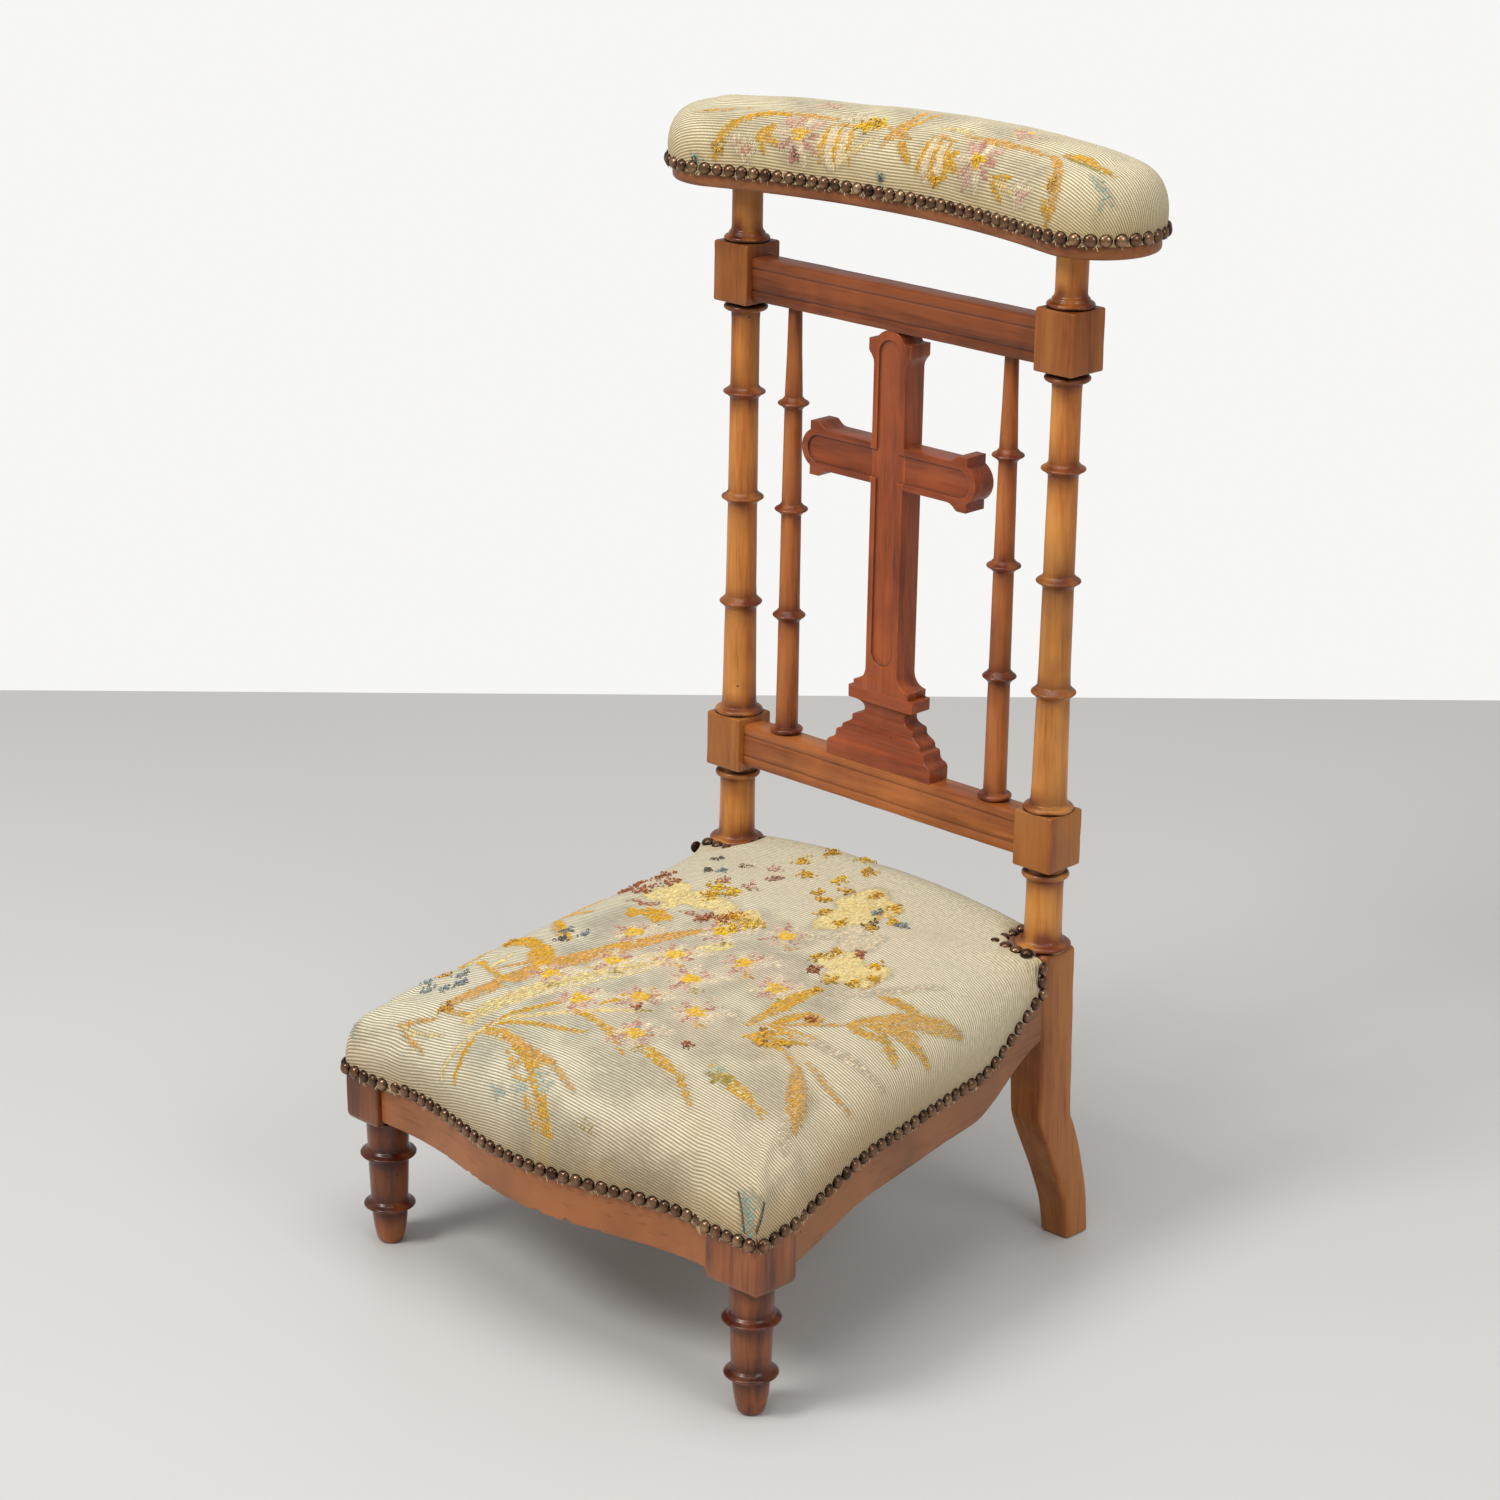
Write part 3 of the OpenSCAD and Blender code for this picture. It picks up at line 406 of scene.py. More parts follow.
def block(s, x0, x1, y0, y1, z0, z1, r=1.6, matrix=None, low=None, dents=0.35, seed=0.0, tone=0.0):
    """Rounded block with a little damage along its edges. low gives a bigger round at the bottom."""
    low = low or r
    zs = [(low * (1 - math.cos(math.radians(a))), z0 + low * (1 - math.sin(math.radians(a))))
          for a in (90, 67, 45, 22, 0)]
    steps = max(2, int((z1 - z0) / 9))
    zs += [(0, z0 + low + (z1 - z0 - low - r) * k / steps) for k in range(1, steps + 1)]
    zs += [(r * (1 - math.cos(math.radians(a))), z1 - r * (1 - math.sin(math.radians(a))))
           for a in (22, 45, 67, 90)]
    loops = []
    for inset, z in zs:
        loop = rounded_rect(x0 + inset, x1 - inset, y0 + inset, y1 - inset, max(r - inset * 0.3, 0.5), z)
        loops.append([(x + dents * noise.noise((x * .11 + seed, y * .11, z * .13)),
                       y + dents * noise.noise((x * .12, y * .1 + seed, z * .12 + 9)), z)
                      for x, y, z in loop])
    v, f = loft(loops)
    add(s, v, f, matrix, tone)


# ---------------------------------------------------------------- rear posts
POST_PROFILE = ([(17.4, 243)] + collar(17.6, 22, 245, 249.8)
                + [(16.2, 250.4), (15.2, 252.4), (14.5, 256), (14.1, 290), (14.2, 300)]
                + collar(14.4, 18.2, 301, 307) + [(14.2, 308), (14.2, 352)]
                + collar(14.6, 19.2, 354.4, 360) + [(14.2, 361), (13.7, 366), (13.3, 384), (12.7, 434)]
                + ring(12.5, 17.3, 447.6) + [(12.1, 462), (11.7, 516)]
                + ring(11.6, 17.1, 533.4) + [(11.6, 548), (11.3, 604)]
                + ring(11.3, 17, 618.4) + [(11.2, 632), (11.0, 676)]
                + collar(11.4, 17.4, 682.6, 689) + [(13.5, 691), (13.5, 737)]
                + collar(14.6, 18, 737.5, 742.3) + [(14.3, 742.8), (14.1, 744.6), (12.4, 746), (12.0, 749),
                                                   (11.9, 772), (12.2, 784)])


def kick_front(z):
    return 36 * math.sin(math.radians(90 * max(0, 112 - z) / 112)) ** 1.3


def kick_back(z):
    return 24 * math.sin(math.radians(90 * max(0, 106 - z) / 106)) ** 0.85


post = shape()
turned(post, POST_PROFILE, POST_X, 0, RAKED,
       darkened_heights=(246, 252, 300, 361, 447.6, 533.4, 618.4, 684, 688, 740, 745))
for bottom, top, seed, tone in ((310.8, 355.2, 0.0, 0.58), (690.6, 737.7, 4, 0.68)):
    block(post, POST_X - POST_W / 2, POST_X + POST_W / 2, -POST_D / 2, POST_D / 2, bottom, top, 1.5, RAKED,
          seed=seed, tone=tone)
foot = []
levels = [0.3, 0.9, 2.2, 4.5] + list(range(9, 238, 6)) + [239.5, 241.6, 243.4, 244.6, 245]
for z in levels:
    under = max(0, 2.2 - z) * 0.9
    over = 3.0 - math.sqrt(max(0, 9 - max(0, z - 242) ** 2))
    t = z / 245
    x0, x1 = 157 + (POST_IN - 157) * t, 184.7 + (POST_X + POST_W / 2 - 184.7) * t
    y0, y1 = kick_front(z) - POST_D / 2, POST_D / 2 + kick_back(z)
    inset = under + over
    loop = rounded_rect(x0 + inset, x1 - inset, y0 + inset, y1 - inset, 3.0, z)
    foot.append([(x + 0.3 * noise.noise((x * .05, y * .05, z * .04)),
                  y + 0.4 * noise.noise((x * .05 + 5, y * .05, z * .05)), z) for x, y, z in loop])
v, f = loft(foot)
sunk = [Vector(p) for p in v]
add(post, sunk, f, RAKED, 0.6)
for p in post["v"]:
    p.z = max(p.z, 0.0)
both(post, "rear_post", POSTS, "walnut_posts", "rear_post")

# ---------------------------------------------------------------- front legs
FOOT_PROFILE = ([(6.4, 0), (8.6, 0.5), (10, 2.2), (11.4, 7), (12.6, 14), (13.3, 20), (13.7, 26)]
                + ring(13.9, 20.2, 32) + [(14.3, 38), (14.6, 42), (15.2, 56), (15.5, 66)]
                + ring(15.5, 22, 75.4) + [(15.9, 82), (16.3, 92), (16.5, 104)])
for side, sign, inner in (("right", 1, BLOCK_IN), ("left", -1, 181.4)):
    leg = shape()
    turned(leg, FOOT_PROFILE, LEG_X, -200, darkened_heights=(32, 75.4, 103))
    block(leg, inner, BLOCK_OUT, FRONT_Y, BLOCK_BACK, 102, 160, 1.8, low=6.5, seed=inner)
    piece(to_object(leg, f"front_leg_{side}_wood", LEGS, mirror=sign < 0), "walnut_legs",
          f"front_leg_{side}")

# ---------------------------------------------------------------- seat rails
def rail_section(depth, z0, z1, chip=0.0):
    """Points (inward distance, z) round a rail's section, from the outer lower edge."""
    r = 1.4
    return [(0, z0 + r + chip + 1.5), (0.1, z0 + r + chip), (0.5 + chip * 0.5, z0 + 0.5 + chip * 0.7),
            (r + chip, z0 + chip * 0.35), (depth * 0.3, z0), (depth * 0.6, z0), (depth - r, z0),
            (depth - 0.4, z0 + 0.4), (depth, z0 + r), (depth, (z0 + z1) / 2), (depth, z1), (0, z1),
            (0, z0 + (z1 - z0) * 0.75), (0, z0 + (z1 - z0) * 0.5), (0, z0 + (z1 - z0) * 0.25)]


front = shape()
loops = []
x = -181.0
while x <= BLOCK_IN + 0.1:
    ragged = ease(-abs(x + 12), -105, -70)
    bite = max(0, noise.noise((x * 0.11, 2.0, 0.0)) + 0.25 * noise.noise((x * 0.6, 7.0, 0.0)) - 0.02)
    lift = ragged * 3.4 * bite
    low = 108.0 + lift + 0.3 * noise.noise((x * 0.05, 0, 3))
    slope = (front_face(x + 0.5) - front_face(x - 0.5))
    n = 1 / math.hypot(1, slope)
    loops.append([(x - slope * n * d, front_face(x) + n * d, z)
                  for d, z in rail_section(RAIL_T, low, 158, ragged * 2.0 * bite)])
    x += 2.0
v, f = loft(loops)
add(front, v, f)
piece(to_object(front, "front_rail_wood", FRONT), "walnut_seat_rails", "front_seat_rail")

side = shape()
loops = []
ys = np.linspace(BLOCK_BACK - 1, REAR_FACE + 6, 90)
for y in ys:
    low = side_edge(y) + 0.35 * noise.noise((y * 0.06, 1, 0))
    high = max(deck(y) - 1.5, low + 20)
    loops.append([(side_x(y) - d, y, z) for d, z in rail_section(RAIL_T, low, high)])
v, f = loft(loops)
add(side, v, f)
both(side, "side_rail", SIDES, "walnut_seat_rails", "side_seat_rail")

back = shape()
block(back, -150, 150, 144, 168, 165, 216, 1.4, seed=3)
piece(to_object(back, "back_seat_rail_wood", FRONT), "walnut_seat_rails", "back_seat_rail")

# ---------------------------------------------------------------- back rails and spindles
def moulded_section(z0):
    """Back rail's section (y, z): rounded edges and two narrow grooves on the face."""
    y0, y1, z1 = BACK_FACE, BACK_FACE + BACK_T, z0 + RAIL_H
    face = [(y0 + 1.6, z0), (y0 + 0.5, z0 + 0.5), (y0, z0 + 1.6), (y0, z0 + 6.2), (y0 + 0.2, z0 + 7.4),
            (y0 + 0.9, z0 + 8.0), (y0 + 0.9, z0 + 8.5), (y0 + 0.3, z0 + 9.2), (y0 + 0.15, z0 + 11),
            (y0, z0 + 16), (y0 + 0.15, z1 - 10.4), (y0 + 0.3, z1 - 9.2), (y0 + 0.9, z1 - 8.5),
            (y0 + 0.9, z1 - 8.0), (y0 + 0.2, z1 - 7.2), (y0, z1 - 5.8), (y0, z1 - 1.6), (y0 + 0.5, z1 - 0.5),
            (y0 + 1.6, z1)]
    rear = [(y1 - 1.6, z1), (y1 - 0.5, z1 - 0.5), (y1, z1 - 1.6), (y1, z0 + RAIL_H / 2), (y1, z0 + 1.6),
            (y1 - 0.5, z0 + 0.5), (y1 - 1.6, z0)]
    return face + rear


for label, z0, material in (("upper", UPPER_RAIL, RAIL_UP_PAINTED_SHADE), ("lower", LOWER_RAIL, RAIL_LOW)):
    rail = shape()
    section = moulded_section(z0)
    loops = []
    for x in np.linspace(-POST_IN - 0.3, POST_IN + 0.3, 60):
        loops.append([(x, y + 0.22 * noise.noise((x * 0.05, y * 0.2, z * 0.2)),
                       z + 0.22 * noise.noise((x * 0.06, z * 0.2, y * 0.2 + 7))) for y, z in section])
    v, f = loft(loops)
    add(rail, v, f, RAKED)
    piece(to_object(rail, f"{label}_back_rail_wood", material), "walnut_back", f"{label}_back_rail")

RAIL_TOP = LOWER_RAIL + RAIL_H
SPINDLE_PROFILE = ([(8.0, RAIL_TOP - 1)] + collar(9.0, 13.2, RAIL_TOP, RAIL_TOP + 5.4)
                   + [(9.0, 356.5), (8.9, 362), (8.7, 390), (8.5, 436)] + ring(8.4, 13.3, 447.6)
                   + [(8.2, 461), (7.9, 520)] + ring(7.8, 13.4, 533.8) + [(7.7, 548), (7.1, 604)]
                   + ring(7.0, 12.6, 618.4) + [(6.8, 631), (5.9, 660), (5.3, UPPER_RAIL + 1)])
spindle = shape()
turned(spindle, SPINDLE_PROFILE, SPINDLE_X, 0, RAKED, 40, 0.08, darkened_heights=(352, 447.6, 533.8, 618.4, 692))
both(spindle, "spindle", SPINDLES, "walnut_back", "spindle")


# ---------------------------------------------------------------- cross
def prism(outline, y0, y1):
    """Closed prism from an outline in X and Z, between two depths."""
    bm = bmesh.new()
    low = [bm.verts.new((x * MM, y0 * MM, z * MM)) for x, z in outline]
    face = bm.faces.new(low)
    top = bmesh.ops.extrude_face_region(bm, geom=[face])
    moved = [e for e in top["geom"] if isinstance(e, bmesh.types.BMVert)]
    bmesh.ops.translate(bm, verts=moved, vec=(0, (y1 - y0) * MM, 0))
    bmesh.ops.recalc_face_normals(bm, faces=bm.faces)
    mesh = bpy.data.meshes.new("prism")
    bm.to_mesh(mesh)
    bm.free()
    ob = bpy.data.objects.new("prism", mesh)
    scene.collection.objects.link(ob)
    return ob


def applied(ob):
    """Bakes an object's modifiers into its mesh."""
    dg = bpy.context.evaluated_depsgraph_get()
    mesh = bpy.data.meshes.new_from_object(ob.evaluated_get(dg))
    ob.modifiers.clear()
    ob.data = mesh
    return ob


def boolean(ob, other, operation):
    """Applies an exact boolean and removes the other object."""
    m = ob.modifiers.new("cut", "BOOLEAN")
    m.operation, m.solver, m.object = operation, "EXACT", other
    bpy.context.view_layer.update()
    applied(ob)
    bpy.data.objects.remove(other)


def finish_carved(ob, name, material):
    """Leans a carved piece back with the posts, then names, smooths and colours it."""
    ob.name = name
    ob.data.transform(Matrix.Scale(1000, 4))
    ob.data.transform(RAKED)
    ob.data.transform(Matrix.Scale(MM, 4))
    ob.data.shade_smooth()
    ob.data.set_sharp_from_angle(angle=math.radians(30))
    ob.data.materials.clear()
    ob.data.materials.append(material)
    return ob


def arc(cx, cz, r, a0, a1, n):
    return [(cx + r * math.cos(math.radians(a0 + (a1 - a0) * i / n)),
             cz + r * math.sin(math.radians(a0 + (a1 - a0) * i / n))) for i in range(n + 1)]


def arm_half(reach):
    """Upper edge of an arm that points along +X, from the middle out: ear, then round cap."""
    ear, half = reach - 8.5, CROSS_W / 2
    cap = arc(reach - 15.8, 0, 15.8, 62, 0, 10)
    edge = [(0, half), (ear - 19, half), (ear - 16, half + 0.5), (ear - 13, half + 2.2),
            (ear - 10.6, half + 4.4), (ear - 9, half + 5.3), (ear, half + 5.3), (ear, 14.4)]
    return edge + [p for p in cap if p[0] > ear - 0.2]


def arm_outline(reach):
    """Outline of the cross arm, both halves."""
    upper = arm_half(reach)
    lower = [(x, -z) for x, z in reversed(upper[:-1])]
    right = upper + lower
    left = [(-x, -z) for x, z in right[1:-1]]
    return right + left


def turn_up(points):
    """Turns an outline that runs along X so that it runs up from the crossing."""
    return [(-z, CROSS_Z + x) for x, z in points]


top_reach = UPPER_RAIL - CROSS_Z + 0.5
upper = turn_up(arm_half(top_reach))
flare = [(CROSS_W / 2 + 12 * (1 - math.cos(math.radians(a))),
          CROSS_FOOT + 18 - 12 * math.sin(math.radians(a))) for a in range(0, 91, 10)]
left_edge = upper
right_edge = [(-x, z) for x, z in reversed(upper[:-1])]
foot_pts = flare + [(27.8, CROSS_FOOT + 5), (27.8, CROSS_FOOT)]
shaft_line = left_edge + right_edge + foot_pts + [(-x, z) for x, z in reversed(foot_pts)]


def sunk_panel(border):
    """Outline of the one sunk panel that runs into all four arms of the cross."""
    half = CROSS_W / 2 - border
    line = []
    for reach, turn in ((CROSS_REACH - 1, 0), (UPPER_RAIL - CROSS_Z - 2, 90), (CROSS_REACH - 1, 180),
                        (CROSS_Z - 427, 270)):
        c, s = math.cos(math.radians(turn)), math.sin(math.radians(turn))
        arm = [(half, -half)] + arc(reach - 16, 0, half, -80, 80, 14)
        line += [(c * x - s * z, CROSS_Z + s * x + c * z) for x, z in arm]
    return line


def arm_region():
    """Two boxes, left and right of the shaft, that hold the cross arm."""
    reach, tall = CROSS_REACH + 10, CROSS_W / 2 + 12
    left = prism([(-reach, CROSS_Z - tall), (-CROSS_W / 2, CROSS_Z - tall), (-CROSS_W / 2, CROSS_Z + tall),
                  (-reach, CROSS_Z + tall)], CROSS_FACE - 5, CROSS_FACE + CROSS_T + 5)
    right = prism([(CROSS_W / 2, CROSS_Z - tall), (reach, CROSS_Z - tall), (reach, CROSS_Z + tall),
                   (CROSS_W / 2, CROSS_Z + tall)], CROSS_FACE - 5, CROSS_FACE + CROSS_T + 5)
    boolean(left, right, "UNION")
    return left


def carved_cross():
    """The whole cross with its panel cut and its edges softened, before it is split at the joint."""
    ob = prism(shaft_line, CROSS_FACE, CROSS_FACE + CROSS_T)
    arm_line = [(x, CROSS_Z + z) for x, z in arm_outline(CROSS_REACH)]
    boolean(ob, prism(arm_line, CROSS_FACE, CROSS_FACE + CROSS_T), "UNION")
    boolean(ob, prism(sunk_panel(5), CROSS_FACE - 1, CROSS_FACE + 1.9), "DIFFERENCE")
    m = ob.modifiers.new("bevel", "BEVEL")
    m.width, m.segments, m.limit_method, m.angle_limit = 0.8 * MM, 3, "ANGLE", math.radians(32)
    bpy.context.view_layer.update()
    return applied(ob)


shaft = carved_cross()
boolean(shaft, arm_region(), "DIFFERENCE")
piece(finish_carved(shaft, "cross_shaft_wood", CROSS_UP), "walnut_cross", "cross_shaft")
arm = carved_cross()
boolean(arm, arm_region(), "INTERSECT")
piece(finish_carved(arm, "cross_arm_wood", CROSS_OUT), "walnut_cross", "cross_arm")

# the stepped plinth's half width at each height above the lower rail
PLINTH = [(53.3, 0), (53.5, 1), (53.5, 10), (53, 11), (51.6, 12.4), (49, 13.4), (47, 14.6), (45.9, 16.8),
          (45.5, 20), (45, 21.4), (41, 21.9), (40.6, 22.4), (40.2, 25.4), (39, 27), (35.8, 28.6),
          (33.2, 30.2), (31.6, 31.6), (31.4, 35.4), (30.6, 36.3), (26.4, 37.2), (22.6, 38.8), (20.9, 41),
          (20.7, 43.4), (21.6, 45.8), (24.4, 47.8), (28.8, 49), (31, 49.6), (33.2, 51), (33.3, 60),
          (33.3, 60.3)]


def plinth_loops():
    fine = soften(PLINTH, 0.7, 0.35)
    loops = []
    for w, z in fine:
        front_at = CROSS_FACE if z > 50.5 else BACK_FACE + (53.3 - w) * 0.2
        loops.append([(x, y, RAIL_TOP + z) for x, y, _ in
                      rounded_rect(-w, w, front_at, BACK_FACE + BACK_T, 1.2, 0)])
    return loops


plinth = shape()
v, f = loft(plinth_loops())
add(plinth, v, f, RAKED)
piece(to_object(plinth, "cross_plinth_wood", CROSS_OUT), "walnut_cross", "cross_plinth")


# ---------------------------------------------------------------- armrest board
def arm_point(where, w):
    """Point of the armrest's outline: where runs 0 to 4 through right end, back, left end, front."""
    leg, t = int(where) % 4, where - int(where)
    ea = END_A
    if leg == 0:
        a = -math.pi / 2 - ea + math.pi * t
        return ARM_END + w * math.cos(a), END_Y + w * math.sin(a)
    if leg == 1:
        a = ea - 2 * ea * t
        return (ARM_R + w) * math.sin(a), BEND_Y + (ARM_R + w) * math.cos(a)
    if leg == 2:
        a = math.pi / 2 + ea + math.pi * t
        return -ARM_END + w * math.cos(a), END_Y + w * math.sin(a)
    a = -ea + 2 * ea * t
    return (ARM_R - w) * math.sin(a), BEND_Y + (ARM_R - w) * math.cos(a)


board = shape()
loops = []
for w, z in [(40, 783), (43, 783.2), (44.6, 783.8), (45.7, 785.2), (46, 787.5), (46, 791), (46, 796),
             (46, 799), (45.4, 801.4), (43.6, 802.8), (41, 803)]:
    loop = []
    for leg, n in ((0, 30), (1, 70), (2, 30), (3, 60)):
        for i in range(n):
            x, y = arm_point(leg + i / n, w + 0.3 * noise.noise((leg + i / n * 9, z * 0.1, 2)))
            loop.append((x, y, z))
    loops.append(loop)
v, f = loft(loops)
add(board, v, f)
piece(to_object(board, "armrest_board_wood", BOARD), "walnut_board", "armrest_board")

# ---------------------------------------------------------------- needlework cloth
# pitch of the ribs along the pad, and of the stitches across it, in mm
RIB = 2.35
STITCH_STEP = 1.3


def needlework(name, base, groove, dirt_and_shade, worn_rear=False):
    """Ribbed canvas: cream cords across the pad, darker between them, stained and rubbed with age.
    The weave attribute holds the cloth's own across and along coordinates in mm, and the distance
    from the nailed edge."""
    g = Graph(name)
    weave = g.node("Attribute", attribute_name="weave").outputs["Vector"]
    u, v, edge = g.node("SeparateXYZ", {"Vector": weave}).outputs
    wave = g.math("COSINE", g.math("MULTIPLY", v, 2 * math.pi / RIB))
    rib = g.math("MULTIPLY_ADD", wave, 0.5, 0.5)
    row = g.math("FLOOR", g.math("ADD", g.math("DIVIDE", v, RIB), 0.5))
    bead = g.math("ADD", g.math("MULTIPLY", u, 2 * math.pi / STITCH_STEP), g.math("MULTIPLY", row, 2.4))
    bead = g.math("SINE", bead)
    bead = g.math("MULTIPLY_ADD", bead, 0.5, 0.5)
    thread = g.noise(g.scaled(weave, (0.09, 1.0 / RIB, 0)), 1.0, 3.0, 0.7)
    speck = g.noise(g.scaled(weave, (1.1, 0.9, 0)), 1.0, 2.0, 0.6)
    cord = g.mix(g.ramp(thread, [(0.35, 0.0), (0.65, 1.0)]), linear(base), linear([c * 0.9 for c in base]))
    colour = g.mix(g.ramp(rib, [(0.18, 1.0), (0.62, 0.0)]), cord, linear(groove))
    colour = g.mix(g.math("MULTIPLY", g.ramp(bead, [(0.0, 1.0), (0.5, 0.0)]), 0.45), colour,
                   linear([c * 0.8 for c in groove]))
    colour = g.mix(g.math("MULTIPLY", g.ramp(speck, [(0.58, 0.0), (0.74, 1.0)]), 0.5), colour,
                   linear([c * 0.72 for c in groove]))
    cloud = g.noise(g.scaled(weave, (0.011, 0.011, 0)), 1.0, 4.0, 0.6)
    colour = g.mix(g.ramp(cloud, [(0.34, 0.12), (0.58, 0.0)]), colour, linear((176, 174, 150)))
    warm = g.noise(g.scaled(weave, (0.018, 0.018, 0), (40, 7, 0)), 1.0, 4.0, 0.65)
    near = g.ramp(g.math("DIVIDE", edge, 60.0), [(0.0, 1.0), (0.14, 0.75), (0.5, 0.25), (1.0, 0.04)])
    stain = g.math("ADD", near, g.ramp(warm, [(0.55, 0.0), (0.8, 0.4)]), clamp=True)
    if worn_rear:
        handled = g.ramp(g.math("DIVIDE", g.math("ADD", u, 40.0), 300.0), [(0.0, 0.0), (0.85, 0.36)])
        front = g.ramp(g.math("DIVIDE", g.math("ADD", v, 200.0), 380.0), [(0.3, 1.0), (0.8, 0.2)])
        stain = g.math("MULTIPLY_ADD", handled, front, stain, clamp=True)
    colour = g.mix(g.math("MULTIPLY", stain, 0.62), colour, linear(dirt_and_shade))
    teal = g.noise(g.scaled(weave, (0.11, 0.08, 0), (11, 90, 0)), 1.0, 3.0, 0.6)
    colour = g.mix(g.ramp(teal, [(0.70, 0.0), (0.8, 0.3)]), colour, linear((132, 168, 152)))
    if worn_rear:
        rear = g.ramp(g.math("DIVIDE", g.math("ADD", v, 200.0), 380.0), [(0.45, 0.0), (0.95, 0.6)])
        felt = g.noise(g.scaled(weave, (0.28, 0.28, 0)), 1.0, 4.0, 0.7)
        grey = g.ramp(felt, [(0.3, linear((166, 156, 126))), (0.7, linear((232, 218, 182)))])
        colour = g.mix(rear, colour, grey)
    dye = g.node("Attribute", attribute_name="dye")
    hold = g.math("MULTIPLY", dye.outputs["Alpha"], g.ramp(thread, [(0.3, 0.55), (0.6, 1.0)]))
    hold = g.math("MULTIPLY", hold, g.ramp(rib, [(0.1, 0.55), (0.6, 1.0)]))
    colour = g.mix(hold, colour, dye.outputs["Color"])
    height = g.math("ADD", g.math("MULTIPLY", rib, 1.0), g.math("MULTIPLY", bead, 0.3))
    height = g.math("ADD", height, g.math("MULTIPLY", speck, 0.5))
    return g.finish(colour, 0.93, height, 0.7, 0.0006, Sheen_Weight=0.12, Sheen_Roughness=0.6,
                    Specular_IOR_Level=0.15)


SEAT_CLOTH = needlework("seat_needlework", (255, 246, 216), (152, 144, 120), (164, 126, 68), True)
ARM_CLOTH = needlework("armrest_needlework", (255, 242, 206), (146, 134, 100), (176, 142, 84))


# ---------------------------------------------------------------- pad builder
def resample(points, count):
    """count + 1 points spaced evenly along a polyline of any dimension."""
    p = np.array(points, float)
    seg = np.linalg.norm(np.diff(p, axis=0), axis=1)
    at = np.concatenate([[0], np.cumsum(seg)])
    t = np.linspace(0, at[-1], count + 1)
    return np.stack([np.interp(t, at, p[:, k]) for k in range(p.shape[1])], 1)


def coons(front, right, back, left):
    n, m = len(front) - 1, len(right) - 1
    grid = np.zeros((n + 1, m + 1, 2))
    for i in range(n + 1):
        for j in range(m + 1):
            u, v = i / n, j / m
            edge = (1 - v) * front[i] + v * back[i] + (1 - u) * left[j] + u * right[j]
            corner = ((1 - u) * (1 - v) * front[0] + u * (1 - v) * front[n] + (1 - u) * v * back[0]
                      + u * v * back[n])
            grid[i, j] = edge - corner
    return grid


